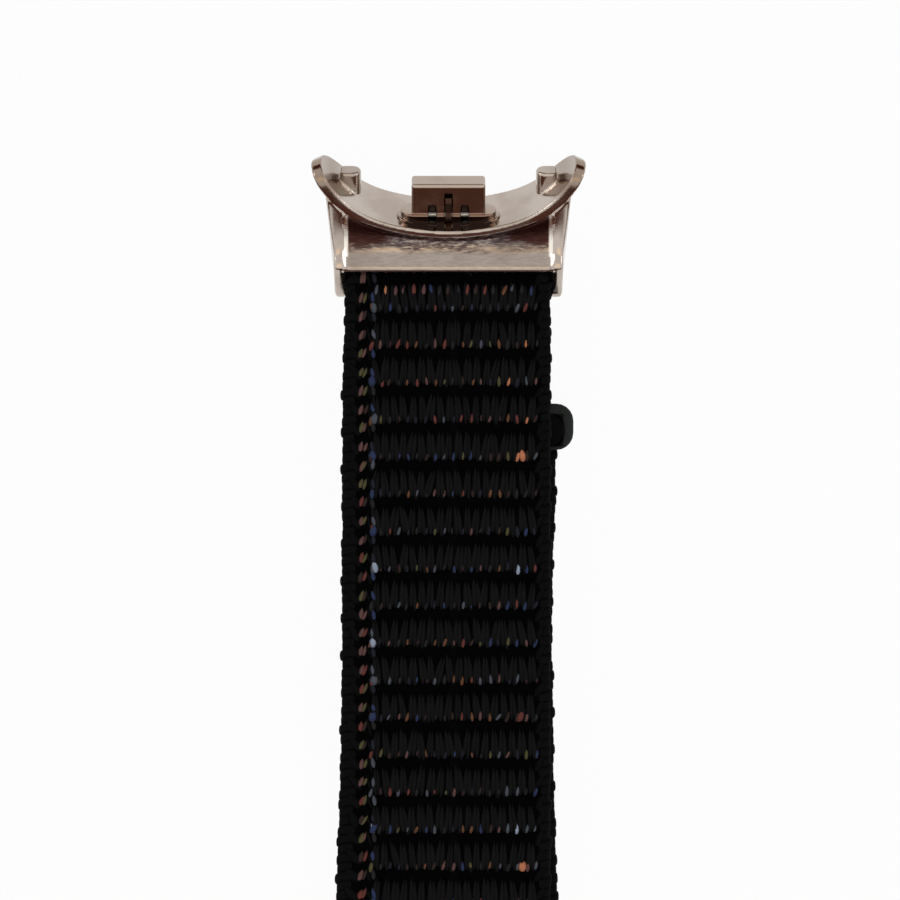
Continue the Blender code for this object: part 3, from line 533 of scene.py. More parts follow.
@dataclass(frozen=True)
class ClothPath:
    """The line that the middle of the webbing follows, by the length from its sewn end.

    It runs up the sewn leg, round bar A, down the front, round bar B and up the tail.
    """

    bar_a: float
    bar_b: float
    bar_height: float
    radius: float
    leg: float
    leg_run: float
    leg_rise: float
    tail_top: float

    @property
    def front(self) -> float:
        """The length at which the front starts, on top of bar A."""
        return self.leg + math.pi * self.radius

    @property
    def fold(self) -> float:
        """The length at which the webbing starts round bar B."""
        return self.front + self.bar_a - self.bar_b

    @property
    def tail(self) -> float:
        """The length at which the tail starts, under bar B."""
        return self.fold + math.pi * self.radius

    @property
    def end(self) -> float:
        """The whole length."""
        return self.tail + self.tail_top - self.bar_b

    def on_front(self, y: float) -> float:
        """The length at which the front passes y."""
        return self.front + self.bar_a - y

    def on_tail(self, y: float) -> float:
        """The length at which the tail passes y."""
        return self.tail + y - self.bar_b

    @staticmethod
    def drift(past: np.ndarray) -> np.ndarray:
        """How far the tail lies to the side, at a length past bar B."""
        places = np.array([0.0, 36.0, 52.0, 60.0, 70.0, 76.0, 83.0, 90.0]) * MM
        shifts = np.array([0.0, 0.60, 0.78, 0.50, 0.34, 0.24, 0.28, 0.62]) * MM
        return np.interp(past, places, shifts)

    def _spread(self, along: np.ndarray, across: np.ndarray) -> np.ndarray:
        """How far the left edge of the front lies past its usual place, for each point."""
        places = np.array([0.0, 4.0, 12.0, 40.0, 48.0, 60.0, 66.0, 96.0, 106.0]) * MM
        widths = np.array([0.12, 0.20, 0.42, 0.48, 0.60, 1.05, 1.0, 0.3, 0.05]) * MM
        width = np.interp(along - self.front, places, widths, left=0.0, right=0.0)
        return -width * eased((-8.4 * MM - across) / (1.6 * MM))

    def placed(self, along: np.ndarray, across: np.ndarray, out: np.ndarray) -> np.ndarray:
        """Points by the path.

        Args:
            along: The length along the path.
            across: The distance from its middle, towards +X.
            out: The height over the middle of the cloth, outwards from the bars.

        Returns:
            The points, in the frame.
        """
        leg_y = self.bar_a - self.leg + along
        share = np.clip((self.bar_a - leg_y) / self.leg_run, 0, 1)
        low = self.bar_height - self.radius
        one, none = np.ones_like(along), np.zeros_like(along)
        leg_slope = -self.leg_rise * 6 * share * (1 - share) / self.leg_run
        parts = [
            (leg_y, low + self.leg_rise * eased(share), one, leg_slope),
            self._round(self.bar_a, (along - self.leg) / self.radius - math.pi / 2),
            (self.bar_a - (along - self.front), (self.bar_height + self.radius) * one, -one, none),
            self._round(self.bar_b, (along - self.fold) / self.radius + math.pi / 2),
            (self.bar_b + along - self.tail, low * one, one, none),
        ]
        section = np.searchsorted([self.leg, self.front, self.fold, self.tail], along)
        y, z, along_y, along_z = (
            np.choose(section, [part[i] for part in parts]) for i in range(4)
        )
        size = np.hypot(along_y, along_z)
        shift = self.drift(along - self.tail) + self._spread(along, across)
        points = (across + shift, y + out * along_z / size, z - out * along_y / size)
        return np.stack(np.broadcast_arrays(*points), axis=-1)

    def _round(self, middle: float, turn: np.ndarray) -> tuple[np.ndarray, ...]:
        """Places and directions on the turn round one bar."""
        sine, cosine = np.sin(turn), np.cos(turn)
        return middle + self.radius * cosine, self.bar_height + self.radius * sine, -sine, cosine


@dataclass(frozen=True)
class Stretch:
    """A length of cloth or tape that is one piece, and the joint that goes with it."""

    name: str
    start: float
    end: float
    joint: str
    ease: float
    nodes: tuple[str, ...]


@dataclass(frozen=True)
class YarnKind:
    """What the yarns of one kind have in common, with lows and highs in millimetres."""

    length: tuple[float, float]
    height: tuple[float, float]
    stray: float
    turn: float
    rows: int
    columns: int = 5
    full_at: float = 0.5
    lift: float = 0.0


FLOAT_KIND = YarnKind((2.70, 3.05), (0.18, 0.30), stray=0.06, turn=0.09, full_at=0.66, rows=8)
FLECK_KIND = YarnKind((0.62, 1.00), (0.20, 0.31), stray=0.07, turn=0.16, rows=6)
KNOT_KIND = YarnKind((1.15, 1.40), (0.30, 0.36), stray=0.08, turn=0.20, rows=9, columns=6)
PLAIN_KIND = YarnKind((1.55, 1.95), (0.16, 0.26), stray=0.05, turn=0.08, rows=7)
TINTED_KIND = replace(PLAIN_KIND, lift=0.08 * MM)
COOL_KNOTS = (FleckTint.PALE, FleckTint.BLUE, FleckTint.SLATE, FleckTint.BLUE)
WARM_KNOTS = (FleckTint.PEACH, FleckTint.ORANGE, FleckTint.CORAL, FleckTint.PEACH)
COOL_EDGE = (FleckTint.BLUE, FleckTint.NAVY, FleckTint.SLATE, FleckTint.NAVY, FleckTint.DUSK)
WARM_EDGE = (FleckTint.CORAL, FleckTint.ROSE, FleckTint.ROSE, FleckTint.OLIVE, FleckTint.BROWN)


@dataclass
class Webbing:
    """The one long strap: a ribbed ground, floats, coloured flecks and bound edges."""

    path: ClothPath
    width: float
    first_groove: float
    pitch: float = 3.66 * MM
    groove_half: float = 0.34 * MM
    groove_slope: float = 0.42 * MM
    groove_level: float = 0.42 * MM
    body_level: float = 0.70 * MM
    edge_level: float = 0.66 * MM
    left_ribs: float = 2.45 * MM
    right_ribs: float = 1.45 * MM
    margin: float = 0.35 * MM
    floats: int = 18
    float_start: float = 0.30 * MM
    ply_shift: float = 0.06 * MM
    fleck_rise: float = 0.88 * MM
    end_row: float = 0.98 * MM
    bare_end: float = 0.6 * MM
    fleck_length: float = 1.12
    fleck_width: float = 0.46
    tinted_share: float = 0.60
    sunk: float = 0.03 * MM
    wrap_reach: float = 0.80 * MM
    edge_round: float = 0.9 * MM
    steps_to_rib: int = 14
    seed: int = 11

    def __post_init__(self) -> None:
        """Draws every yarn of the strap, once and in order."""
        self.random = np.random.default_rng(self.seed)
        self.rib_left = -self.width / 2 + self.left_ribs
        self.rib_right = self.width / 2 - self.right_ribs
        self.float_step = (self.rib_right - self.rib_left) / self.floats
        self.first_phase = self.path.front + self.first_groove
        self.yarns: list[tuple[np.ndarray, np.ndarray, np.ndarray, np.ndarray]] = []
        for side in (1, -1):
            self._draw_floats(side)
            self._draw_flecks(side)
            self._draw_knots(side)
            self._draw_edge_columns(side)
        self._draw_bound_edges()

    def level(self, along: np.ndarray, across: np.ndarray) -> np.ndarray:
        """The height of the ground cloth over its middle, lower in the grooves."""
        phase = np.mod(along - self.first_phase, self.pitch)
        from_groove = np.minimum(phase, self.pitch - phase)
        rise = eased((from_groove - self.groove_half) / self.groove_slope)
        inside = eased((across - self.rib_left + self.margin) / self.margin)
        inside = inside * eased((self.rib_right + self.margin - across) / self.margin)
        ribs = self.groove_level + (self.body_level - self.groove_level) * rise
        return self.edge_level + (ribs - self.edge_level) * inside

    def grooves(self) -> np.ndarray:
        """The length at each groove, from before the sewn end to past the tail's."""
        first = math.floor(-self.first_phase / self.pitch)
        last = math.ceil((self.path.end - self.first_phase) / self.pitch)
        return self.first_phase + self.pitch * np.arange(first, last + 1)

    def draw(
        self,
        kind: YarnKind,
        side: int,
        along: np.ndarray,
        across: np.ndarray,
        length: np.ndarray,
        width: np.ndarray,
        lean: float | np.ndarray,
        slots: np.ndarray,
    ) -> None:
        """Lays yarns that lie along the strap and rise from its ground.

        Args:
            kind: What they have in common.
            side: 1 for the outer face and -1 for the inner face.
            along: The middle of each yarn, by the path.
            across: The middle of each yarn, across the strap.
            length: How long each is.
            width: How wide each is at its widest.
            lean: Its turn from the strap's direction, or one that they all stray from.
            slots: Its finish.
        """
        height = self.random.uniform(*kind.height, len(along)) * MM
        if isinstance(lean, float):
            lean = lean + self.random.normal(0.0, kind.turn, len(along))
        v = (1 - np.cos(np.linspace(0, math.pi, kind.rows))) / 2
        first = np.clip(v / kind.full_at, 0, 1)
        second = np.clip((v - kind.full_at) / (1 - kind.full_at), 0, 1)
        taper = np.sin(first * math.pi / 2) ** 0.8 * np.sqrt(np.clip(1 - second**2.4, 0, 1))
        u = np.linspace(-1, 1, kind.columns)
        run = (v[:, None] - 0.5) * each(length)
        reach = 0.5 * each(width) * taper[:, None] * u
        cosine, sine = each(np.cos(lean)), each(np.sin(lean))
        where = each(along) + run * cosine - reach * sine
        across_at = each(across) + reach * cosine + run * sine
        ridge = each(height) * (taper**0.7)[:, None] * dome(u)
        out = self.level(where, across_at) + kind.lift + ridge - self.sunk
        points = self.path.placed(where, across_at, side * out)
        self._keep(along, points, (u + 1) / 2, run / MM, slots, side)

    def _keep(
        self,
        along: np.ndarray,
        points: np.ndarray,
        over: np.ndarray,
        run: np.ndarray,
        slots: np.ndarray,
        way: int,
    ) -> None:
        """Keeps finished yarns.

        Args:
            along: The middle of each yarn, by the path.
            points: Its grid.
            over: The UV place of each point over the yarn.
            run: The UV place along it, which a random length is added to.
            slots: Its finish.
            way: -1 to turn its faces over, and else 1.
        """
        offset = self.random.uniform(0, 40, (len(along), 1, 1))
        places = np.stack(np.broadcast_arrays(over, run + offset), axis=-1)
        self.yarns.append((along, points[:, :, ::way], places[:, :, ::way], slots))

    def _strayed(self, places: float | np.ndarray, spread: float, count: int) -> np.ndarray:
        """Places that each stray a little from a usual one."""
        return places + self.random.normal(0, spread, count) * MM

    def _picked(self, tints: Sequence[FleckTint], count: int) -> np.ndarray:
        """The finishes of some yarns, each in one of the tints."""
        picks = self.random.integers(0, len(tints), count)
        return FIRST_TINT + np.array([TINTS.index(tint) for tint in tints])[picks]

    def _draw_floats(self, side: int) -> None:
        """The dark floats of two plies, pointed towards one groove and broad at the next."""
        step = self.float_step
        columns = self.rib_left + step * (np.arange(self.floats) + 0.5)
        along, across = all_pairs(self.grooves(), columns)
        count = len(along)
        start = along + self.float_start + self.random.uniform(-0.08, 0.16, count) * MM
        lean = self.random.normal(0.0, FLOAT_KIND.turn, count)
        width = step * self.random.uniform(0.80, 1.12, count)
        across = self._strayed(across, FLOAT_KIND.stray, count)
        slots = np.full(count, CLOTH_FINISHES.index(FLOAT))
        for ply in (-1, 1):
            length = self.random.uniform(*FLOAT_KIND.length, count) * MM
            along = start + length / 2 + self.ply_shift * ply
            middle = across + ply * 0.20 * width
            leaning = lean + ply * 0.03
            self.draw(FLOAT_KIND, side, along, middle, length, 0.72 * width, leaning, slots)

    def _draw_flecks(self, side: int) -> None:
        """The coloured flecks low on each rib, one between every two floats."""
        step, path, chance = self.float_step, self.path, self.random
        columns = self.rib_left + step * np.arange(self.floats + 1)
        along, across = all_pairs(self.grooves(), columns)
        along = along + self.pitch - self.fleck_rise
        turning = (along > path.leg) & (along < path.front + self.bare_end)
        turning |= (along > path.fold - self.bare_end) & (along < path.tail)
        along, across = along[~turning], across[~turning]
        extra = self.rib_left + step * (np.arange(self.floats) + 0.5)
        firsts = (path.front + self.end_row, path.fold - self.end_row)
        along = np.concatenate([along, *(np.full(self.floats, first) for first in firsts)])
        across = np.concatenate([across, extra, extra])
        count = len(along)
        bold = np.clip(1.1 - np.abs(across - self.rib_right + 2.0 * MM) / (1.5 * MM), 0, 1)
        bold[-2 * self.floats :] = 0.8
        bold = np.maximum(bold, np.clip(1.1 - np.abs(across - self.rib_left) / (0.9 * MM), 0, 1))
        plain, bright = (
            chance.choice(len(TINTS), count, p=shares) for shares in (PLAIN_SHARES, BOLD_SHARES)
        )
        slots = FIRST_TINT + np.where(chance.uniform(0, 1, count) < bold * 0.75, bright, plain)
        size = (chance.uniform(*FLECK_KIND.length, count) + 0.25 * bold) * MM
        along = self._strayed(along, 0.06, count)
        across = self._strayed(across, FLECK_KIND.stray, count)
        length, width = self.fleck_length * size, self.fleck_width * size
        self.draw(FLECK_KIND, side, along, across, length, width, -0.12, slots)

    def _draw_knots(self, side: int) -> None:
        """The few large bright yarns at both sides of the ribs."""
        grooves, chance = self.grooves(), self.random
        columns = (
            (self.rib_left + 0.18 * MM, COOL_KNOTS, 0.5),
            (self.rib_right - 1.35 * MM, WARM_KNOTS, 0.4),
        )
        for middle, tints, share in columns:
            along = grooves[chance.uniform(0, 1, len(grooves)) < share] + self.pitch
            count = len(along)
            slots = self._picked(tints, count)
            along = along - chance.uniform(0.85, 1.0, count) * MM
            across = self._strayed(middle, KNOT_KIND.stray, count)
            length = chance.uniform(*KNOT_KIND.length, count) * MM
            width = chance.uniform(0.72, 1.0, count) * MM
            self.draw(KNOT_KIND, side, along, across, length, width, -0.15, slots)

    def _draw_edge_columns(self, side: int) -> None:
        """The slanted yarns beside the ribs and the coloured column near the left edge."""
        half = self.pitch / 2
        steps = np.arange(math.ceil(self.path.end / half) + 1) * half
        steps = steps + np.mod(self.first_phase, half) - half
        columns = (
            (self.rib_left - 0.28 * MM, 0.35, 0.42, ()),
            (self.rib_left - 0.98 * MM, -0.25, 0.46, WARM_EDGE),
            (self.rib_left - 0.66 * MM, -0.35, 0.40, (FleckTint.OLIVE, *WARM_EDGE)),
            (self.rib_left + 0.16 * MM, 0.15, 0.50, COOL_EDGE),
            (self.rib_left - 1.50 * MM, 0.42, 0.70, ()),
            (self.rib_right + 0.42 * MM, -0.42, 0.78, ()),
        )
        count = len(steps)
        for middle, lean, width, tints in columns:
            kind = TINTED_KIND if tints else PLAIN_KIND
            along = self._strayed(steps, 0.05, count)
            edge = np.full(count, CLOTH_FINISHES.index(EDGE))
            slots = self._picked(tints, count) if tints else edge
            across = self._strayed(middle, kind.stray, count)
            length = self.random.uniform(*kind.length, count) * MM
            length = length * (self.tinted_share if tints else 1.0)
            self.draw(kind, side, along, across, length, np.full(count, width * MM), lean, slots)

    def _draw_bound_edges(self) -> None:
        """The yarns that bind both edges, wrapped from one face to the other."""
        step = self.pitch / 4
        along = np.arange(0, self.path.end + step, step)
        count = len(along)
        turn = np.linspace(1, -1, 10)[:, None] * math.radians(112)
        u = np.linspace(-1, 1, 6)
        taper = np.clip(np.cos(turn * 0.8), 0.05, 1) ** 0.5
        slots = np.full(count, CLOTH_FINISHES.index(EDGE))
        for hand in (1, -1):
            proud = np.where(np.arange(count) % 4 == 1, 0.30, 0.16) * MM
            proud = proud + self.random.uniform(-0.07, 0.08, count) * MM
            swell = each(proud) * dome(u) * taper
            middle = hand * (self.width / 2 - self.edge_round)
            across = middle + hand * (self.wrap_reach + swell) * np.cos(turn)
            out = (self.edge_level - 0.05 * MM + swell) * np.sin(turn)
            where = each(along) + u * step * 0.62 + np.sin(turn) * 0.42 * MM * hand
            points = self.path.placed(*np.broadcast_arrays(where, across, out))
            self._keep(along, points, (u + 1) / 2, turn * 0.8, slots, hand)

    def _add_ground(self, skin: Skin, start: float, end: float) -> None:
        """Adds the ground cloth from start to end, closed across its edges."""
        step = self.pitch / self.steps_to_rib
        inner = np.arange(math.ceil(start / step + 0.01), math.floor(end / step - 0.01) + 1)
        along = np.concatenate([[start], inner * step, [end]])
        flat = self.width / 2 - self.edge_round
        breaks = (-0.4, -0.2, 0.0, 0.3)
        left = [self.rib_left + b * MM for b in breaks]
        right = [self.rib_right - b * MM for b in reversed(breaks)]
        across = np.array([-flat, *left, *np.linspace(left[-1], right[0], 5)[1:-1], *right, flat])
        bend = np.radians([65, 35, 0, -35, -65])
        top = np.stack([across, np.ones_like(across)])
        edge = np.stack([flat + 0.78 * MM * np.cos(bend), np.sin(bend)])
        ring = np.concatenate([top, edge, top[:, ::-1] * [[1], [-1]], edge * [[-1], [-1]]], axis=1)
        where, across_at = np.broadcast_arrays(along[:, None], ring[0])
        points = self.path.placed(where, across_at, self.level(where, across_at) * ring[1])
        skin.add_tube(points, np.stack([across_at / MM, where / MM], axis=-1))

    def build(self, stretch: Stretch) -> bpy.types.Object:
        """Makes one piece of the strap.

        Args:
            stretch: Where it lies and the joint that goes with it.

        Returns:
            The piece.
        """
        skin = Skin()
        self._add_ground(skin, stretch.start, stretch.end)
        for along, points, places, slots in self.yarns:
            mine = (along >= stretch.start) & (along < stretch.end)
            skin.add(points[mine], places[mine], slots[mine])
        return bent(skin.object(stretch.name, CLOTH_FINISHES), stretch, "webbing")


def finished(piece: bpy.types.Object, slot: str, *nodes: str) -> bpy.types.Object:
    """Hides the nodes that a piece stands for, and logs the piece."""
    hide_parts(*nodes)
    LOG.info("%s: %d faces", piece.name, len(piece.data.polygons))
    return piece


def bent(piece: bpy.types.Object, stretch: Stretch, slot: str) -> bpy.types.Object:
    """Bakes a piece's place into its mesh, and finishes it."""
    joint = joint_of(stretch.joint)
    toward = 1.0 if stretch.joint.startswith("tail") else -1.0
    reach = Vector((0.0, toward * stretch.ease, 0.0))
    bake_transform(piece)
    return finished(piece, slot, *stretch.nodes)


@dataclass(frozen=True)
class HookTape:
    """The moulded hook tape on the tail's inner face."""

    name: str
    node: str
    start: float
    end: float
    joint: str
    ease: float
    path: ClothPath
    pitch: float = 0.86 * MM
    stem: float = 0.085 * MM
    base_share: float = 0.52
    margin: float = 0.08 * MM
    curl: float = 0.17 * MM
    upright: float = 0.4
    bend: float = math.radians(205)

    def build(self) -> bpy.types.Object:
        """Makes the tape between two places on the tail, with its rows of hooks."""
        low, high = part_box(self.node)
        near, far = max(self.start, low.y), min(self.end, high.y)
        base = low.z + (high.z - low.z) * self.base_share
        half = (high.x - low.x) / 2 - self.margin
        skin = Skin()
        lengths = np.linspace(near, far, 24)
        flat = np.linspace(-1, 1, 14)
        top = np.stack([flat * (half - 0.15 * MM), np.full(14, base)])
        bottom = np.stack([flat[::-1] * (half - 0.1 * MM), np.full(14, low.z)])
        sides = np.array([[half, half], [base - 0.12 * MM, low.z + 0.1 * MM]])
        ring = np.concatenate([top, sides, bottom, sides[:, ::-1] * [[-1], [1]]], axis=1)
        x, y, z = np.broadcast_arrays(ring[0], lengths[:, None], ring[1])
        body = np.stack([x + self._shift(y), y, z], axis=-1)
        skin.add_tube(body, np.stack([x / MM, y / MM], axis=-1))
        self._add_hooks(skin, near, far, half, base, high.z)
        made = skin.object(self.name, (HOOK_BASE, HOOK))
        stretch = Stretch(self.name, near, far, self.joint, self.ease, (self.node,))
        return bent(made, stretch, "hook_tape")

    def _shift(self, y: np.ndarray) -> np.ndarray:
        """How far the tail's middle lies to the side."""
        return self.path.drift(y - self.path.bar_b)

    def _add_hooks(
        self, skin: Skin, near: float, far: float, half: float, base: float, top: float
    ) -> None:
        """Adds the rows of bent hooks, which turn one way and the other by rows.

        Args:
            skin: What they are added to.
            near: The lower end of the tape.
            far: The upper end of the tape.
            half: Half its width.
            base: The height of its face.
            top: The height of the hooks.
        """
        across = np.arange(-half + 0.5 * MM, half - 0.4 * MM, self.pitch)
        along = np.arange(near + 0.45 * MM, far - 0.3 * MM, self.pitch)
        x, y = all_pairs(across, along)
        way = np.where(np.repeat(np.arange(len(across)), len(along)) % 2, 1.0, -1.0)
        share = np.linspace(0, 1, 8)
        turn = np.clip((share - self.upright) / (1 - self.upright), 0, 1) * self.bend
        risen = np.minimum(share / self.upright, 1) * (top - base - self.curl)
        line_z = base - 0.03 * MM + risen + self.curl * np.sin(turn)
        line_y = self.curl * (1 - np.cos(turn))
        girth = self.stem * np.where(share < 1, 1.0, 0.45)
        girth = girth * (1.5 - 0.5 * np.minimum(share / 0.3, 1))
        around = circle(6)
        along_y = np.where(share < self.upright, 0.0, np.sin(turn))
        along_z = np.where(share < self.upright, 1.0, np.cos(turn))
        side = girth[:, None] * np.sin(around)
        grid_x = each(x) + girth[:, None] * np.cos(around) + each(self._shift(y))
        grid_y = each(y) + (line_y[:, None] + side * along_z[:, None]) * each(way)
        grid_z = line_z[:, None] - side * along_y[:, None]
        points = np.stack(np.broadcast_arrays(grid_x, grid_y, grid_z), axis=-1)
        turned = way > 0
        points[turned] = points[turned][:, :, ::-1]
        places = np.stack(np.broadcast_arrays(0 * share, share), axis=-1)[:, None]
        skin.add(points, places, np.ones(len(x), int), closed=True)


HOOK_BASE = Yarn("hook_tape_base", srgb(8, 8, 9), srgb(20, 20, 21), sheen=0.05, fibres=8.0)
HOOK = Yarn("moulded_hooks", srgb(13, 13, 14), srgb(30, 30, 31), sheen=0.0, fibres=1.0)


@dataclass(frozen=True)
class CastPart:
    """A rigid node given the soft edges and the close skin of a polished casting."""

    node: str
    finish: Finish
    slot: str
    voxel: float
    passes: int

    def build(self, shells: Sequence[bpy.types.Mesh] = ()) -> bpy.types.Object:
        """Makes the piece, with one skin over all its shells.

        Args:
            shells: Closed shells, in millimetres. Without them the node's own solid is used.

        Returns:
            The piece, which rides on the node's body.
        """
        source = frame["nodes"][self.node]
        piece = linked(f"{self.node}_surface", joined(shells or [self._solid()]))
        remesh = piece.modifiers.new("skin", "REMESH")
        remesh.mode = "VOXEL"
        remesh.voxel_size = self.voxel / MM
        smooth = piece.modifiers.new("ease", "SMOOTH")
        smooth.factor = 0.5
        smooth.iterations = self.passes
        mesh = finished_mesh(piece)
        piece.modifiers.clear()
        piece.data = mesh
        mesh.transform(Matrix.Scale(MM, 4))
        mesh.materials.clear()
        mesh.materials.append(self.finish.material())
        mesh.polygons.foreach_set("use_smooth", np.ones(len(mesh.polygons), bool))
        mesh.polygons.foreach_set("material_index", np.zeros(len(mesh.polygons), np.int32))
        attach(piece, source["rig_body"])
        return finished(piece, self.slot, self.node)

    def _solid(self) -> bpy.types.Mesh:
        """A copy of the node's own solid, in millimetres."""
        copy = frame["nodes"][self.node].data.copy()
        copy.transform(Matrix.Scale(1 / MM, 4))
        return copy


def finished_mesh(piece: bpy.types.Object) -> bpy.types.Mesh:
    """The mesh of an object after its modifiers."""
    bpy.context.view_layer.update()
    graph = bpy.context.evaluated_depsgraph_get()
    return bpy.data.meshes.new_from_object(piece.evaluated_get(graph))


def joined(meshes: Sequence[bpy.types.Mesh]) -> bpy.types.Mesh:
    """One mesh that holds all of some others, with doubled points welded."""
    whole = bmesh.new()
    for mesh in meshes:
        whole.from_mesh(mesh)
    bmesh.ops.remove_doubles(whole, verts=whole.verts, dist=1e-4)
    made = bpy.data.meshes.new("joined")
    whole.to_mesh(made)
    whole.free()
    return made


def lofted(rings: np.ndarray) -> bpy.types.Mesh:
    """A closed shell in millimetres through rings of points in metres."""
    count, size = rings.shape[:2]
    faces = quads(count, size, closed=True).tolist()
    faces += [list(range(size))[::-1], list(range((count - 1) * size, count * size))]
    mesh = bpy.data.meshes.new("shell")
    mesh.from_pydata((rings.reshape(-1, 3) / MM).tolist(), [], faces)
    shell = bmesh.new()
    shell.from_mesh(mesh)
    bmesh.ops.recalc_face_normals(shell, faces=shell.faces)
    shell.to_mesh(mesh)
    shell.free()
    return mesh


def carved(body: bpy.types.Mesh, tools: Sequence[bpy.types.Mesh]) -> bpy.types.Mesh:
    """A shell with others taken out of it."""
    piece = linked("carved", body)
    helpers = [linked("tool", tool) for tool in tools]
    for helper in helpers:
        cut = piece.modifiers.new("cut", "BOOLEAN")
        cut.operation = "DIFFERENCE"
        cut.solver = "EXACT"
        cut.object = helper
    mesh = finished_mesh(piece)
    for made in (piece, *helpers):
        bpy.data.objects.remove(made)
    return mesh


def drawn_in(outline: np.ndarray, inset: float | np.ndarray) -> np.ndarray:
    """A closed outline of flat points, moved inwards."""
    ahead = np.roll(outline, -1, axis=0) - np.roll(outline, 1, axis=0)
    inward = np.stack([-ahead[:, 1], ahead[:, 0]], axis=-1)
    inward /= np.linalg.norm(inward, axis=1, keepdims=True)
    after = np.roll(outline, -1, axis=0)
    area = np.sum(outline[:, 0] * after[:, 1] - outline[:, 1] * after[:, 0])
    return outline + inward * inset * math.copysign(1, area)


def layered(outline: np.ndarray, levels: Sequence[tuple[float, float]]) -> np.ndarray:
    """Rings of an outline, drawn in by an inset at each height."""
    rings = []
    for inset, rise in levels:
        rings.append(np.column_stack([drawn_in(outline, inset), np.full(len(outline), rise)]))
    return np.stack(rings)


def arc(
    centre: tuple[float, float], radius: float, turns: tuple[float, float], steps: int
) -> np.ndarray:
    """Flat points on an arc between two angles in degrees."""
    turn = np.radians(np.linspace(*turns, steps))
    return np.column_stack([centre[0] + radius * np.cos(turn), centre[1] + radius * np.sin(turn)])


def rounded_box(
    half: tuple[float, float], centre: tuple[float, float], corner: float
) -> np.ndarray:
    """The flat outline of a rectangle with round corners."""
    x, y = half[0] - corner, half[1] - corner
    places = ((x, y, 0), (-x, y, 90), (-x, -y, 180), (x, -y, 270))
    arcs = [arc((centre[0] + a, centre[1] + b), corner, (t, t + 90), 6) for a, b, t in places]
    return np.concatenate(arcs)


@dataclass(frozen=True)
class Seat:
    """The tilted trough that a watch case rests in, turned up at both ends into ears."""

    near_out: float = 4.62 * MM
    near_up: float = 4.40 * MM
    tilt: float = math.radians(35.0)
    depth: float = 6.45 * MM
    radius: float = 20.0 * MM
    ear_radius: float = 10.0 * MM
    middle_half: float = 6.0 * MM

    @property
    def middle_length(self) -> float:
        """The length along the floor from its middle to where an ear starts."""
        return self.radius * math.asin(self.middle_half / self.radius)

    def point(self, x: np.ndarray, inward: np.ndarray, rise: np.ndarray) -> np.ndarray:
        """Places by the bar, from places across, in from the near edge and over the floor."""
        sine, cosine = math.sin(self.tilt), math.cos(self.tilt)
        out = self.near_out + inward * sine + rise * cosine
        up = self.near_up - inward * cosine + rise * sine
        return np.stack(np.broadcast_arrays(x, out, up), axis=-1)

    def curve(self, along: np.ndarray) -> tuple[np.ndarray, np.ndarray, np.ndarray]:
        """The place across, the height and the slope angle at a length along the floor."""
        distance = np.abs(along)
        first = np.minimum(distance, self.middle_length) / self.radius
        angle = first + np.maximum(distance - self.middle_length, 0) / self.ear_radius
        x = self.radius * np.sin(first) + self.ear_radius * (np.sin(angle) - np.sin(first))
        height = self.radius * (1 - np.cos(first))
        height = height + self.ear_radius * (np.cos(first) - np.cos(angle))
        return np.sign(along) * x, height, np.sign(along) * angle

    def floor(self, x: float) -> tuple[float, float]:
        """The floor's height and slope angle at a place across."""
        along = np.linspace(0, self.middle_length + self.ear_radius, 600)
        places, heights, angles = self.curve(along)
        return float(np.interp(abs(x), places, heights)), float(np.interp(abs(x), places, angles))

    def block(self, *sides: tuple[float, float]) -> bpy.types.Mesh:
        """A box that stands square on the seat, from its ends across, inwards and upwards."""
        x, inward, rise = sides
        outline = [(x[0], inward[0]), (x[1], inward[0]), (x[1], inward[1]), (x[0], inward[1])]
        return self.pillar(np.array(outline), [(0.0, level) for level in rise])

    def pillar(
        self, outline: np.ndarray, levels: Sequence[tuple[float, float]]
    ) -> bpy.types.Mesh:
        """The shell of a pillar on the seat, drawn in by an inset at each height."""
        return lofted(self.point(*np.moveaxis(layered(outline, levels), -1, 0)))


def rounded_top(root: float, top: float, radius: float) -> list[tuple[float, float]]:
    """Insets and heights of a pillar whose upper edge is round."""
    turns = np.radians(np.linspace(0, 90, 5))
    rim = [(radius * (1 - math.cos(t)), top - radius * (1 - math.sin(t))) for t in turns]
    return [(0.0, root), *rim]


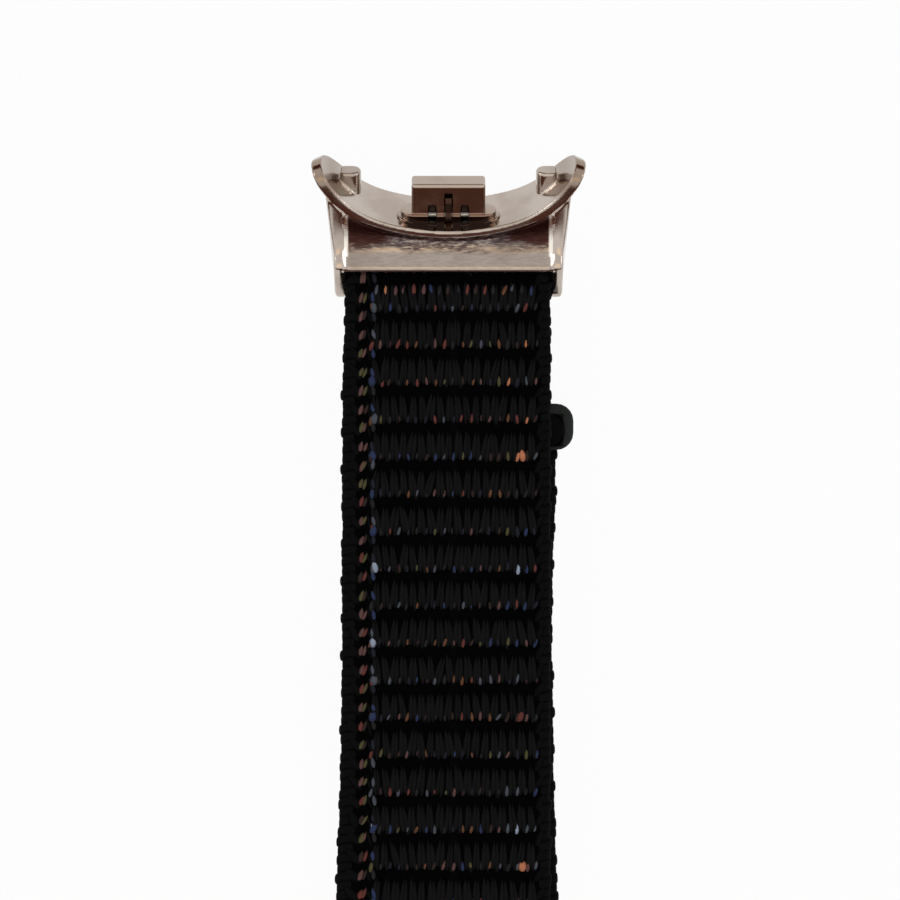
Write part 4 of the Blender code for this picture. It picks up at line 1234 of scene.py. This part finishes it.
@dataclass(frozen=True)
class Casting:
    """The connector's polished casting: seat plate, posts, front bar, cheeks and lobes."""

    seat: Seat
    thickness: float = 1.05 * MM
    edge_round: float = 0.13 * MM
    ear_near: float = 10.1 * MM
    ear_far: float = 7.5 * MM
    near_corner: float = 2.9 * MM
    far_corner: float = 2.7 * MM
    cavity_half: float = 10.18 * MM
    cheek_half: float = 11.25 * MM
    flare: float = 0.75 * MM
    flare_rise: float = 4.4 * MM
    cheek_round: float = 0.34 * MM
    lobe_round: float = 2.1
    face: float = 3.85 * MM
    recess: float = 0.36 * MM
    recess_half: float = 9.82 * MM
    recess_slope: float = 0.72 * MM
    bar_edge: float = 0.65 * MM
    bar_round: float = 0.62 * MM
    ledge: float = 2.35 * MM
    cavity: float = 3.0 * MM
    lobe: float = 1.55 * MM
    back: float = -1.45 * MM
    bond: float = 0.14 * MM
    overlap: float = 0.08 * MM
    edge_in: float = 0.06 * MM
    edge_share: float = 0.95
    cheek_overlap: float = 0.12 * MM
    root_drop: float = 0.42 * MM
    crown: float = 1.08 * MM
    nose: float = 0.98 * MM
    nose_drop: float = 0.22 * MM

    def shells(self) -> list[bpy.types.Mesh]:
        """All its shells, across the strap and out and up from the bar, in millimetres."""
        made = [self._plate(), self._middle()]
        for side in (1, -1):
            made += [self._cheek(side), self._post(side)]
        return made

    def _ear_length(self, inward: np.ndarray) -> np.ndarray:
        """The length of an ear past the trough's middle, at a depth from the near edge."""
        length = self.ear_near + (self.ear_far - self.ear_near) * inward / self.seat.depth
        ends = ((inward, self.near_corner), (self.seat.depth - inward, self.far_corner))
        for distance, corner in ends:
            missing = np.maximum(corner - distance, 0)
            length = length - corner + np.sqrt(corner**2 - missing**2)
        return length

    def _plate(self) -> bpy.types.Mesh:
        """The curved plate with its ears, round along all its edges."""
        ease = np.linspace(0, 1, 18) ** 2
        near, far = ease * self.near_corner, self.seat.depth - ease[::-1] * self.far_corner
        depths = np.concatenate([near, np.linspace(near[-1], far[0], 8)[1:-1], far])
        shares = np.sin(np.linspace(-math.pi / 2, math.pi / 2, 181))
        inward, share = np.meshgrid(depths, shares, indexing="ij")
        reach = self.seat.middle_length + self._ear_length(inward)
        x, height, angle = self.seat.curve(share * reach)
        from_end = (1 - abs(share)) * reach
        from_edge = np.minimum.reduce([inward, self.seat.depth - inward, from_end])
        missing = np.maximum(self.edge_round - from_edge, 0)
        loss = self.edge_round - np.sqrt(self.edge_round**2 - missing**2)
        layers = []
        for drop in (loss, self.thickness - loss):
            place = x + drop * np.sin(angle), inward, height - drop * np.cos(angle)
            layers.append(self.seat.point(*place))
        return lofted(np.concatenate([layers[0], layers[1][:, ::-1]], axis=1))

    def _level(self, x: float) -> float:
        """The height of the front face, which lies lower between the cheeks."""
        share = float(eased(np.array((abs(x) - self.recess_half) / self.recess_slope)))
        return self.face - self.recess * (1 - share)

    def _rise_to(self, face: float, top: np.ndarray, bend: float) -> np.ndarray:
        """The front's slope from its face up to the plate, hollow where bend is over 1."""
        share = np.linspace(0, 1, 18)[1:]
        out = self.ledge + share * (top[0] - self.ledge)
        return np.stack([out, face + (top[1] - face) * share**bend], axis=-1)

    def _middle(self) -> bpy.types.Mesh:
        """The body between the cheeks, hollow for the strap, with room for the button."""
        start = math.degrees(math.asin(self.back / self.cavity))
        end = math.degrees(math.acos(self.bar_edge / self.cavity))
        hollow = arc((0.0, 0.0), self.cavity, (start, end), 24)
        back_out = self.seat.point(0.0, self.seat.depth - self.bond, -self.thickness)[1]
        ends = np.array([self.bond, self.seat.depth - self.bond])
        rings = []
        for x in np.linspace(-1, 1, 85) * (self.cavity_half + self.overlap):
            height, angle = self.seat.floor(x)
            face = self._level(x)
            under = height - self.edge_share * self.thickness / math.cos(angle)
            edge = self.seat.point(0.0, self.edge_in, under)
            centre = (self.bar_edge + self.bar_round, face - self.bar_round)
            inside = self.seat.point(0.0, ends, height - self.thickness / 2)
            outline = [
                arc(centre, self.bar_round, (180, 90), 9),
                np.array([[(centre[0] + self.ledge) / 2, face], [self.ledge, face]]),
                self._rise_to(face, edge[1:], 2.0),
                inside[:, 1:],
                np.array([[back_out, self.back]]),
                hollow,
            ]
            flat = np.concatenate(outline)
            rings.append(np.column_stack([np.full(len(flat), x), flat]))
        return carved(lofted(np.stack(rings)), self._pockets())

    def _cheek(self, side: int) -> bpy.types.Mesh:
        """One cheek, from the lobe round the bar up to the ear."""
        base = self.cavity_half - self.cheek_overlap
        root_rise = self.seat.floor(base)[0] - self.root_drop
        back_out = self.seat.point(0.0, self.seat.depth - self.bond, -self.thickness)[1]
        shares = [(share, 0.0) for share in (0.0, 0.12, 0.24, 0.36, 0.5)]
        turns = np.radians(np.linspace(0, 90, 7))
        reach = self.cheek_half - base
        for turn in turns:
            inset = self.cheek_round * (1 - math.cos(turn))
            shares.append((1 - self.cheek_round * (1 - math.sin(turn)) / reach, inset))
        rings = []
        for share, inset in shares:
            face = self._level(base + share * reach)
            rise = root_rise + (self.flare_rise - root_rise) * share
            top = self.seat.point(0.0, self.bond, rise)[1:]
            slope = self._rise_to(face, top, 2 - share)
            nose = np.array([self.nose, face - self.nose_drop])
            start = math.atan2(nose[1], nose[0]) + math.acos(self.lobe / np.linalg.norm(nose))
            bend = np.linspace(0, 1, 9)[:, None]
            crown = np.array([self.crown, face])
            ledge = np.array([self.ledge, face])
            curve = (1 - bend) ** 2 * ledge + 2 * bend * (1 - bend) * crown + bend**2 * nose
            far = self.seat.point(0.0, self.seat.depth - self.bond, rise)[1:]
            outline = np.concatenate(
                [
                    slope[::-1],
                    curve,
                    arc((0.0, 0.0), self.lobe, (math.degrees(start), 270), 24),
                    np.array([[back_out, self.back], far]),
                ]
            )
            spread = np.zeros(len(outline))
            spread[: len(slope)] = np.linspace(1, 0, len(slope) + 1)[:-1]
            spread[-1] = 1.0
            x = base + (reach + self.flare * spread) * share
            deep = np.ones(len(outline))
            deep[len(slope) + len(curve) :] = self.lobe_round
            flat = drawn_in(outline, inset * deep[:, None])
            rings.append(np.column_stack([side * x, flat]))
        return lofted(np.stack(rings))

    def _post(self, side: int) -> bpy.types.Mesh:
        """A guide post, square on its outer side and round on its inner side."""
        near, far, inner, outer, corner = (v * MM for v in (2.9, 4.66, 9.43, 10.55, 0.3))
        half = (far - near) / 2
        outline = np.concatenate(
            [
                arc((outer - corner, far - corner), corner, (90, 0), 5),
                arc((outer - corner, near + corner), corner, (0, -90), 5),
                arc((inner, near + half), half, (-90, -270), 13),
            ]
        )
        outline[:, 0] *= side
        levels = rounded_top(root=1.8 * MM, top=4.86 * MM, radius=0.22 * MM)
        return self.seat.pillar(outline, levels)

    def _pockets(self) -> list[bpy.types.Mesh]:
        """What is taken out for the button, its cover and the latch lever."""
        low = self.back - 1.0 * MM
        cover_top, pocket_top = self.back + 0.42 * MM, 1.35 * MM
        cover = rounded_box((5.1 * MM, 1.75 * MM), centre=(0.0, 4.92 * MM), corner=0.7 * MM)
        pocket = rounded_box((3.8 * MM, 1.15 * MM), centre=(0.0, 4.52 * MM), corner=1.14 * MM)
        tools = [
            lofted(layered(outline, ((0.0, low), (0.0, top))))
            for outline, top in ((cover, cover_top), (pocket, pocket_top))
        ]
        lever = ((-0.6 * MM, 0.6 * MM), (1.3 * MM, 3.8 * MM), (-2.95 * MM, -0.6 * MM))
        return [*tools, self.seat.block(*lever)]


@dataclass(frozen=True)
class Tongue:
    """The slotted block and its oval flange, which slide into the watch case."""

    seat: Seat
    half: float = 3.6 * MM
    near: float = 1.2 * MM
    far: float = 3.2 * MM
    top: float = 4.6 * MM
    flange_half: float = 4.65 * MM
    flange_near: float = 0.95 * MM
    flange_depth: float = 2.5 * MM
    flange_top: float = 1.3 * MM
    skirt_reach: float = 0.38 * MM
    skirt_rise: float = 0.18 * MM
    notch: float = 1.58 * MM
    cut_half: float = 0.38 * MM

    def shells(self) -> list[bpy.types.Mesh]:
        """Its shells, with the slot and the notches taken out."""
        centre = (0.0, (self.near + self.far) / 2)
        outline = rounded_box((self.half, (self.far - self.near) / 2), centre, corner=0.3 * MM)
        levels = rounded_top(root=0.6 * MM, top=self.top, radius=0.28 * MM)
        block = self.seat.pillar(outline, levels)
        slot = (0.0, 2.98 * MM, -1.0 * MM, 3.6 * MM)
        notches = ((side * self.notch, 2.3 * MM, -0.5 * MM, 2.3 * MM) for side in (-1, 1))
        cuts = []
        for middle, deep, low, top in (slot, *notches):
            across = (middle - self.cut_half, middle + self.cut_half)
            cuts.append(self.seat.block(across, (-1.0 * MM, deep), (low, top)))
        flange = self._slab(0.0, lambda floor: self.flange_top, edge=0.10 * MM)
        skirt = self._slab(self.skirt_reach, lambda floor: floor + self.skirt_rise, edge=0.08 * MM)
        return [carved(block, cuts), carved(flange, cuts), carved(skirt, cuts[:1])]

    def _slab(
        self, reach: float, top_at: Callable[[float], float], edge: float
    ) -> bpy.types.Mesh:
        """A slab that follows the seat below and is oval at both ends.

        Args:
            reach: How far it stands out past the flange's ends.
            top_at: Its upper height for the height of the floor.
            edge: The radius of its upper edge.

        Returns:
            Its shell.
        """
        half = self.flange_half + reach
        depth = self.flange_depth / 2
        middle = self.flange_near + self.flange_depth / 2
        rings = []
        for share in np.sin(np.linspace(-math.pi / 2, math.pi / 2, 61)):
            x = share * half
            past = max(abs(x) - half + 1.5 * MM, 0) / (1.5 * MM)
            reach_in = 0.15 * MM + (depth - 0.15 * MM) * math.sqrt(max(1 - past**2.4, 0))
            floor = self.seat.floor(x)[0]
            bottom = floor - 0.16 * MM
            top = max(top_at(floor), floor + edge)
            rim = arc((reach_in - edge, top - edge), edge, (0, 90), 5)
            side = np.concatenate([[[reach_in, bottom]], rim])
            ring = np.concatenate([side, side[::-1] * [-1, 1]])
            rings.append(self.seat.point(x, middle + ring[:, 0], ring[:, 1]))
        return lofted(np.stack(rings))


SATIN_NICKEL = PlatedMetal(
    name="satin_nickel",
    colour=srgb(178, 170, 163),
    shade=srgb(152, 144, 138),
    roughness=0.26,
    mark_size=0.10 * MM,
    mark_depth=0.006 * MM,
)
STEEL = PlatedMetal(
    name="ground_steel",
    colour=srgb(168, 166, 163),
    shade=srgb(140, 138, 137),
    roughness=0.25,
    mark_size=0.08 * MM,
    mark_depth=0.004 * MM,
)
BROWNED_STEEL = replace(
    STEEL,
    name="browned_steel",
    colour=srgb(72, 52, 44),
    shade=srgb(44, 32, 28),
    roughness=0.34,
)


@dataclass(frozen=True)
class SeatPlace:
    """Shader places on one connector: across it, and in and up from its seat's near edge."""

    bar: Vector
    seat: Seat

    @property
    def end(self) -> str:
        """The letter of the connector."""
        return "a" if self.bar.y > 0 else "b"

    def wires(self, shader: Shader) -> tuple[Wire, Wire, Wire, Wire, Wire]:
        """The object's coordinate, then how far across, out, in from the near edge and up."""
        place = shader.place("Object")
        x, y, z = shader.axes(place)
        out = abs(y - self.bar.y)
        past, over = out - self.seat.near_out, z - (self.bar.z + self.seat.near_up)
        sine, cosine = math.sin(self.seat.tilt), math.cos(self.seat.tilt)
        return place, abs(x), out, past * sine - over * cosine, past * cosine + over * sine


@dataclass(frozen=True)
class CastNickel(Plating):
    """Bright plating on the casting, with painted light: a dark, streaky painted reflection in the
    hollow under the seat plate, painted shade on its front face and ears, and a painted highlight
    along each cheek's inner edge.
    """

    where: SeatPlace
    colour: Colour = srgb(189, 177, 167)
    shade: Colour = srgb(163, 149, 138)
    # Painted shade, darker and warmer, on the ears.
    ear: Colour = srgb(152, 135, 121)
    # Painted shade over the front face between the cheeks.
    front_shade: Colour = srgb(136, 121, 112)
    # Painted highlight along each cheek's inner edge.
    cheek_highlight: Colour = srgb(250, 243, 232)
    # Painted reflection of a dark room in the hollow under the seat plate, in streaks between this
    # lighter colour and the darker one below, along the polish's grain.
    hollow: Colour = srgb(172, 159, 151)
    dark_reflection: Colour = srgb(78, 67, 68)
    # Painted reflection of the dark brown room, high in the hollow towards both ends.
    brown_reflection: Colour = srgb(64, 36, 31)

    @property
    def name(self) -> str:
        """Each connector has its own, because its hollow lies in its own place."""
        return f"cast_nickel_{self.where.end}"

    def surface(self, shader: Shader) -> Wire:
        """The shader of this finish."""
        place, x, out, inward, height = self.where.wires(shader)
        bright, patch, marks = self.plating(shader, place, 0.2 * MM)
        under = x * x * (0.5 / self.where.seat.radius) - height
        drift = shader.noise(shader.stretched(place, (0.35, 1.0, 1.0)), 1.0 / MM, 3.0)
        streaks = shader.noise(shader.stretched(place, (0.22, 1.0, 1.0)), 5.5 / MM, 5.0, 0.65)
        front = x.eased(10.25 * MM, 9.95 * MM) * under.eased(0.55 * MM, 0.75 * MM)
        front = front * inward.eased(1.2 * MM, 0.8 * MM)
        between = front * out.eased(2.2 * MM, 2.6 * MM)
        toward_end = x.eased(1.5 * MM, 7.5 * MM)
        zone = between * (out + (drift - 0.5) * 2.2 * MM).eased(2.5 * MM, 3.4 * MM)
        high = (out + (drift - 0.5) * 1.6 * MM).eased(3.1 * MM, 3.8 * MM)
        # Painted reflection, reddish brown, high in the hollow towards both ends.
        brown_reflection_share = x.eased(4.4 * MM, 6.8 * MM) * high
        # Painted highlight: a near-white strip along each cheek's inner edge, beside the hollow.
        strip = x.eased(9.72 * MM, 9.92 * MM) * x.eased(10.5 * MM, 10.3 * MM)
        strip = strip * between.eased(0.0, 0.1)
        # Painted shade on the ears, high and towards both ends.
        ear_shade = x.eased(9.6 * MM, 11.6 * MM) * height.eased(3.0 * MM, 4.4 * MM)
        bright = shader.mixed(ear_shade, bright, self.ear)
        # Painted shade over the front face, in streaks along the polish's grain.
        front_shade_share = front * (0.24 + 0.26 * streaks.eased(0.42, 0.64))
        bright = shader.mixed(front_shade_share, bright, self.front_shade)
        bright = shader.mixed(strip * 0.9, bright, self.cheek_highlight)
        # Painted reflection in the hollow: dark streaks with lighter ones, a little darker towards
        # the ends.
        light = (streaks - 0.07 - 0.03 * toward_end).eased(0.36, 0.60)
        hollow_reflection = shader.mixed(light, self.dark_reflection, self.hollow)
        hollow_reflection = shader.mixed(brown_reflection_share * 0.95, hollow_reflection, self.brown_reflection)
        grain = marks * (0.25 + 0.5 * patch) * 0.35 + streaks * (0.12 + 0.9 * zone)
        colour = shader.mixed(zone * (1.0 - strip), bright, hollow_reflection)
        roughness = 0.11 + 0.08 * patch + 0.12 * zone
        return self.metal(shader, colour, roughness, shader.bump(grain, 0.020 * MM))


@dataclass(frozen=True)
class TongueNickel(Plating):
    """Polished plating on the tongue, with painted shade, almost black, on its flange's near side,
    in its notches and in its slot, where they face the seat, and a brown painted reflection on its
    block's near face.
    """

    where: SeatPlace
    colour: Colour = srgb(180, 165, 153)
    shade: Colour = srgb(158, 140, 128)
    # Painted reflection of the dark room, brown, on the block's near face.
    front: Colour = srgb(150, 122, 106)
    # The colour of the painted shade on the flange's near side, in the notches and in the slot.
    dark: Colour = srgb(34, 25, 25)

    @property
    def name(self) -> str:
        """Each tongue has its own, because its flange lies in its own place."""
        return f"tongue_nickel_{self.where.end}"

    def surface(self, shader: Shader) -> Wire:
        """The shader of this finish."""
        place, x, _, inward, height = self.where.wires(shader)
        bright, patch, marks = self.plating(shader, place, MM / 6.0)
        # Painted shade, almost black, on the near side of the flange, in the notches and in the
        # slot.
        front = inward.eased(1.16 * MM, 1.02 * MM) * height.eased(1.21 * MM, 1.15 * MM)
        front = front * x.eased(4.5 * MM, 4.1 * MM)
        notch = abs(x - 1.58 * MM).eased(0.46 * MM, 0.40 * MM) * height.eased(2.5 * MM, 1.9 * MM)
        notch = notch * inward.eased(3.1 * MM, 2.9 * MM)
        slot = x.eased(0.46 * MM, 0.38 * MM) * inward.eased(3.1 * MM, 2.9 * MM)
        slot = slot * height.eased(3.7 * MM, 3.5 * MM)
        painted_shade = 1.0 - (1.0 - front) * (1.0 - notch) * (1.0 - slot)
        # Painted reflection, brown, on the block's near face.
        face = inward.eased(1.34 * MM, 1.24 * MM) * height.eased(4.36 * MM, 4.28 * MM)
        bright = shader.mixed(face, bright, self.front)
        colour = shader.mixed(painted_shade * 0.92, bright, self.dark)
        roughness = 0.14 + 0.08 * patch + 0.05 * marks
        normal = shader.bump(marks * (0.3 + 0.7 * patch), 0.008 * MM)
        return self.metal(shader, colour, roughness, normal)


@dataclass(frozen=True)
class Connector:
    """One metal connector with its tongue, latch, button and bar."""

    end: str

    def build(self) -> None:
        """Makes its cast pieces and dresses the nodes that stay."""
        bar, seat = middle_of(f"strap_bar_{self.end}"), Seat()
        place = Matrix.Translation(bar / MM)
        if self.end == "b":
            place = place @ Matrix.Rotation(math.pi, 4, "Z")
        where = SeatPlace(bar, seat)
        formed = (
            ("connector_body", CastNickel(where), "casting", 0.11 * MM, Casting(seat)),
            ("case_tongue", TongueNickel(where), "tongue", 0.055 * MM, Tongue(seat)),
        )
        for name, finish, slot, voxel, form in formed:
            shells = form.shells()
            for shell in shells:
                shell.transform(place)
            CastPart(f"{name}_{self.end}", finish, slot, voxel, passes=5).build(shells)
        for name, slot in (("release_button", "button"), ("button_cover", "cover")):
            part = CastPart(f"{name}_{self.end}", SATIN_NICKEL, slot, voxel=0.06 * MM, passes=3)
            part.build()
        for name in ("latch_pin", "strap_bar"):
            dress(f"{name}_{self.end}", STEEL)
        for name in ("return_spring_left", "return_spring_right"):
            ReturnSpring(f"{name}_{self.end}", self.end).build()
        dress(f"latch_lever_{self.end}", BROWNED_STEEL)


def dress(node: str, finish: Finish) -> None:
    """Gives a node that stays its finish."""
    shown = frame["nodes"][node]
    if not shown.material_slots:
        shown.data.materials.append(None)
    for slot in shown.material_slots:
        slot.material = finish.material()
    LOG.info("%s: %s", node, finish.name)


@dataclass(frozen=True)
class ReturnSpring:
    """A wire spring between the release button and the casting, which a press shortens; it is
    built at rest and doesn't follow the button.
    """

    node: str
    end: str
    wire: float = 0.10 * MM
    turns: int = 4
    steps: int = 26
    sides: int = 8

    def build(self) -> bpy.types.Object:
        """Makes the spring, with closed ends that lie flat."""
        low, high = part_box(self.node)
        middle = (low + high) / 2
        radius = (high.x - low.x) / 2 - self.wire
        share = np.linspace(0, 1, self.turns * self.steps + 1)
        share = np.concatenate([[0.0], share, [1.0]])[:, None]
        girth = np.full(share.shape, self.wire)
        girth[[0, -1]] = 0.0
        turn = share * self.turns * 2 * math.pi
        rise = np.clip((share - 0.1) / 0.8, 0, 1) * (high.z - low.z - 2 * self.wire)
        around = circle(self.sides)
        reach = radius + girth * np.cos(around)
        x = middle.x + reach * np.cos(turn)
        y = middle.y + reach * np.sin(turn)
        z = low.z + self.wire + rise - girth * np.sin(around)
        skin = Skin()
        skin.add(np.stack([x, y, z], axis=-1)[None], np.zeros(2), np.zeros(1, int), closed=True)
        piece = skin.object(f"{self.node}_wire", (STEEL,))
        f"button_{self.end}"
        f"connector_{self.end}"
        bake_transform(piece)
        return finished(piece, "spring", self.node)


@dataclass(frozen=True)
class EndTab:
    """The moulded tab on the tail's end, with a sunk panel in each face."""

    side_rim: float = 0.92 * MM
    upper_rim: float = 0.98 * MM
    lower_rim: float = 0.30 * MM
    corner: float = 1.7 * MM
    panel_corner: float = 1.35 * MM
    reach: float = 0.30 * MM
    sink: float = 0.34 * MM
    edge_round: float = 0.5 * MM

    def build(self) -> bpy.types.Object:
        """Makes the tab, with its darker panel."""
        low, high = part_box("end_tab")
        high = high + Vector((self.reach, 0.0, 0.0))
        middle = (low + high) / 2
        half = (high - low) / 2
        outline = rounded_box((half.x, half.y), (middle.x, middle.y), self.corner)
        panel_half = (half.x - self.side_rim, half.y - (self.upper_rim + self.lower_rim) / 2)
        panel_middle = (middle.x, middle.y - (self.upper_rim - self.lower_rim) / 2)
        panel = rounded_box(panel_half, panel_middle, self.panel_corner)
        tools = [
            lofted(layered(panel, ((0.0, face - self.sink), (0.0, face + self.sink))))
            for face in (high.z, low.z)
        ]
        finish = Moulding("moulded_tab", srgb(3, 3, 4), srgb(44, 46, 44), panel_middle, panel_half)
        shell = carved(lofted(layered(outline, self._levels(low.z, high.z))), tools)
        return CastPart("end_tab", finish, "tab", voxel=0.08 * MM, passes=5).build([shell])

    def _levels(self, low: float, high: float) -> list[tuple[float, float]]:
        """Insets and heights of its sides, round along both edges."""
        upper = rounded_top(low, high, self.edge_round)[1:]
        return [(inset, low + high - rise) for inset, rise in reversed(upper)] + upper


@dataclass(frozen=True)
class Seam:
    """One row of stitches across the sewn leg."""

    node: str
    ease: float
    pitch: float = 1.9 * MM
    length: float = 1.35 * MM
    width: float = 0.36 * MM

    def build(self) -> bpy.types.Object:
        """Makes the row of stitches."""
        low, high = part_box(self.node)
        count = round((high.x - low.x) / self.pitch)
        middle = (low.y + high.y) / 2
        x = low.x + (high.x - low.x) * (np.arange(count) + 0.5) / count
        v = np.linspace(0, 1, 9)
        around = circle(8)
        taper = np.sin(np.clip(v, 0.02, 0.98) * math.pi) ** 0.45
        rise = np.sin(v * math.pi) ** 0.6
        run = (v - 0.5) * self.length
        girth = self.width / 2 * taper
        grid_x = each(x) + run[:, None]
        grid_y = middle + girth[:, None] * np.cos(around)
        grid_z = high.z - (high.z - low.z) * 0.45 * rise[:, None]
        grid_z = grid_z + girth[:, None] * 0.8 * np.sin(around)
        points = np.stack(np.broadcast_arrays(grid_x, grid_y, grid_z), axis=-1)
        places = np.stack(np.broadcast_arrays(around / (2 * math.pi), run[:, None] / MM), axis=-1)
        skin = Skin()
        skin.add(points, places, np.zeros(count, int), closed=True)
        made = skin.object(f"{self.node}_thread", (THREAD,))
        stretch = Stretch(made.name, low.y, high.y, "wrist_curl_1", self.ease, (self.node,))
        return bent(made, stretch, "thread")


@dataclass(frozen=True)
class Studio:
    """The table, the soft lights and the camera over the strap."""

    photo_size: float = 900.0
    pixels_to_metre: float = 10200.0
    bar_pixel: tuple[float, float] = (448.5, 280.0)
    lens: float = 150.0
    sensor: float = 36.0
    subject_height: float = 6.0 * MM
    table_half: float = 2.5
    table_gap: float = 0.1 * MM

    def build(self, bar: Vector) -> None:
        """Makes the studio round the strap's upper bar."""
        self._camera(bar)
        self._table()
        self._world()
        self._lamps(bar)

    def _camera(self, bar: Vector) -> None:
        """Looks straight down, with the bar where the photograph has it."""
        data = bpy.data.cameras.new("camera")
        data.lens = self.lens
        data.sensor_width = self.sensor
        camera = linked("camera", data)
        span = self.photo_size / self.pixels_to_metre
        distance = span * self.lens / self.sensor
        centre = self.photo_size / 2
        x = bar.x + (centre - self.bar_pixel[0]) / self.pixels_to_metre
        y = bar.y + (self.bar_pixel[1] - centre) / self.pixels_to_metre
        camera.location = (x, y, self.subject_height + distance)
        data.clip_start = distance / 10
        data.clip_end = distance * 100
        bpy.context.scene.camera = camera

    def _table(self) -> None:
        """The white paper under the strap."""
        level = cad_box[0].z - self.table_gap
        signs = ((-1, -1), (1, -1), (1, 1), (-1, 1))
        corners = [(x * self.table_half, y * self.table_half, level) for x, y in signs]
        mesh = bpy.data.meshes.new("table")
        mesh.from_pydata(corners, [], [(0, 1, 2, 3)])
        mesh.materials.append(Paper().material())
        linked("table", mesh)

    def _world(self) -> None:
        """White to the camera, with dark cards at each end of the table for the metal to show."""
        scene = bpy.context.scene
        scene.world = bpy.data.worlds.new("studio")
        scene.world.use_nodes = True
        shader = Shader(scene.world.node_tree)
        x, y, z = shader.axes(shader.place("Generated"))
        ends = abs(y).eased(0.45, 0.75)
        card = ends * z.eased(0.62, 0.42) * z.eased(-0.02, 0.05)
        strip = (0.0 - y).eased(0.14, 0.24) * (0.0 - y).eased(0.56, 0.44) * abs(x).eased(0.5, 0.3)
        ceiling = shader.mixed(z.eased(0.80, 0.97), WHITE, (0.86, 0.85, 0.84, 1.0))
        lit = shader.mixed(strip, ceiling, (1.4, 1.22, 0.98, 1.0))
        room = shader.mixed(card, lit, srgb(92, 54, 42))
        colour = shader.mixed(shader.glossy_or(), WHITE, room)
        inputs = {0: shader.glossy_or("Camera", "Transmission")}
        for socket, seen, strength in ((1, (0.98, 0.99, 1.0, 1.0), 0.55), (2, colour, 1.0)):
            values = {"Color": seen, "Strength": strength}
            inputs[socket] = shader.node("ShaderNodeBackground", {}, values)
        shader.end("ShaderNodeOutputWorld", shader.node("ShaderNodeMixShader", {}, inputs))

    def _lamps(self, bar: Vector) -> None:
        """A broad lamp over the strap, which the metal doesn't show, and one at each side."""
        self._lamp("overhead_lamp", (0.10, -0.25, 0.75), bar, size=0.55, watts=1.35, shown=False)
        self._lamp("left_lamp", (-0.58, 0.16, 0.40), bar, size=0.20, watts=0.42, shown=True)
        self._lamp("right_lamp", (0.58, 0.06, 0.36), bar, size=0.16, watts=0.25, shown=True)

    @staticmethod
    def _lamp(
        name: str,
        place: tuple[float, float, float],
        aim: Vector,
        size: float,
        watts: float,
        shown: bool,
    ) -> None:
        """One square lamp.

        Args:
            name: What it is called.
            place: Where it stands.
            aim: What it points at.
            size: The length of its side.
            watts: Its power.
            shown: Whether metal shows it.
        """
        data = bpy.data.lights.new(name, "AREA")
        data.size = size
        data.energy = watts
        lamp = linked(name, data)
        lamp.location = place
        lamp.visible_glossy = shown
        lamp.rotation_mode = "QUATERNION"
        lamp.rotation_quaternion = (aim - Vector(place)).to_track_quat("-Z", "Y")


@dataclass(frozen=True)
class Strap:
    """The strap: where its one cloth is divided, and what lies on it."""

    leg: float = 9.6 * MM
    leg_run: float = 4.2 * MM
    leg_rise: float = 1.68 * MM
    wrap: float = 1.8 * MM
    width: float = 20.0 * MM
    first_groove: float = 3.49 * MM
    ease: float = 8.4 * MM
    peel_ease: float = 1.5 * MM
    peel_end: float = 2.2 * MM

    def path(self) -> ClothPath:
        """The line of the cloth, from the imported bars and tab."""
        bars = [middle_of(f"strap_bar_{end}") for end in "ab"]
        return ClothPath(
            bar_a=bars[0].y,
            bar_b=bars[1].y,
            bar_height=bars[0].z,
            radius=self.wrap,
            leg=self.leg,
            leg_run=self.leg_run,
            leg_rise=self.leg_rise,
            tail_top=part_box("tail_6")[1].y,
        )

    def _lengths(
        self, layer: str, node: str, joints: Sequence[str], cuts: Sequence[float]
    ) -> list[Stretch]:
        """One layer's lengths of cloth, one to a joint. The last one stands for two nodes.

        Args:
            layer: The layer's name.
            node: The first part of its nodes' names.
            joints: The joint in each length.
            cuts: The ends of the lengths, by the path.

        Returns:
            The lengths, in order.
        """
        lengths = []
        for i, (joint, start, end) in enumerate(zip(joints, cuts, cuts[1:]), 1):
            nodes = (f"{node}_{i}",) if i < len(joints) else (f"{node}_{i}", f"{node}_{i + 1}")
            lengths.append(Stretch(f"webbing_{layer}_{i}", start, end, joint, self.ease, nodes))
        return lengths

    def build(self) -> None:
        """Makes the cloth, the seams, the hook tape and the end tab."""
        path = self.path()
        webbing = Webbing(path, self.width, self.first_groove)
        fronts = [*(f"wrist_curl_{i}" for i in range(1, 6)), "wrist_curl"]
        tails = [f"tail_curl_{i}" for i in range(1, 6)]
        places = [joint_of(joint)["pos_m"][1] for joint in fronts]
        middles = [(a + b) / 2 for a, b in zip(places, places[1:])]
        root = path.on_tail(joint_of("tail_peel")["pos_m"][1] + self.peel_end)
        front_cuts = [0.0, *(path.on_front(y) for y in middles), path.tail]
        tail_cuts = [root, *(path.on_tail(y) for y in reversed(middles[1:])), path.end]
        stretches = (
            *self._lengths("front", "strap", fronts, front_cuts),
            Stretch("webbing_fold", path.tail, root, "tail_peel", self.peel_ease, ("strap_7",)),
            *self._lengths("tail", "tail", tails, tail_cuts),
        )
        for stretch in stretches:
            webbing.build(stretch)
        for node in ("stitch_row_1", "stitch_row_2"):
            Seam(node, self.ease).build()
        split = middles[1]
        tapes = (
            ("hook_tape_upper", "hook_pad_1", split, path.bar_a, "tail_curl_5"),
            ("hook_tape_middle", "hook_pad_2", split, path.bar_a, "tail_curl_5"),
            ("hook_tape_lower", "hook_pad_2", path.bar_b, split, "tail_curl_4"),
        )
        for name, node, start, end, joint in tapes:
            HookTape(name, node, start, end, joint, self.ease, path).build()
        EndTab().build()


def main() -> None:
    """Builds the strap, its connectors and the studio."""
    logging.basicConfig(level=logging.INFO, format="%(message)s", stream=sys.stdout)
    bpy.context.scene.view_settings.view_transform = "Standard"
    strap = Strap()
    strap.build()
    for end in "ab":
        Connector(end).build()
    path = strap.path()
    Studio().build(Vector((0.0, path.bar_a, path.bar_height)))


if __name__ == "__main__":
    main()
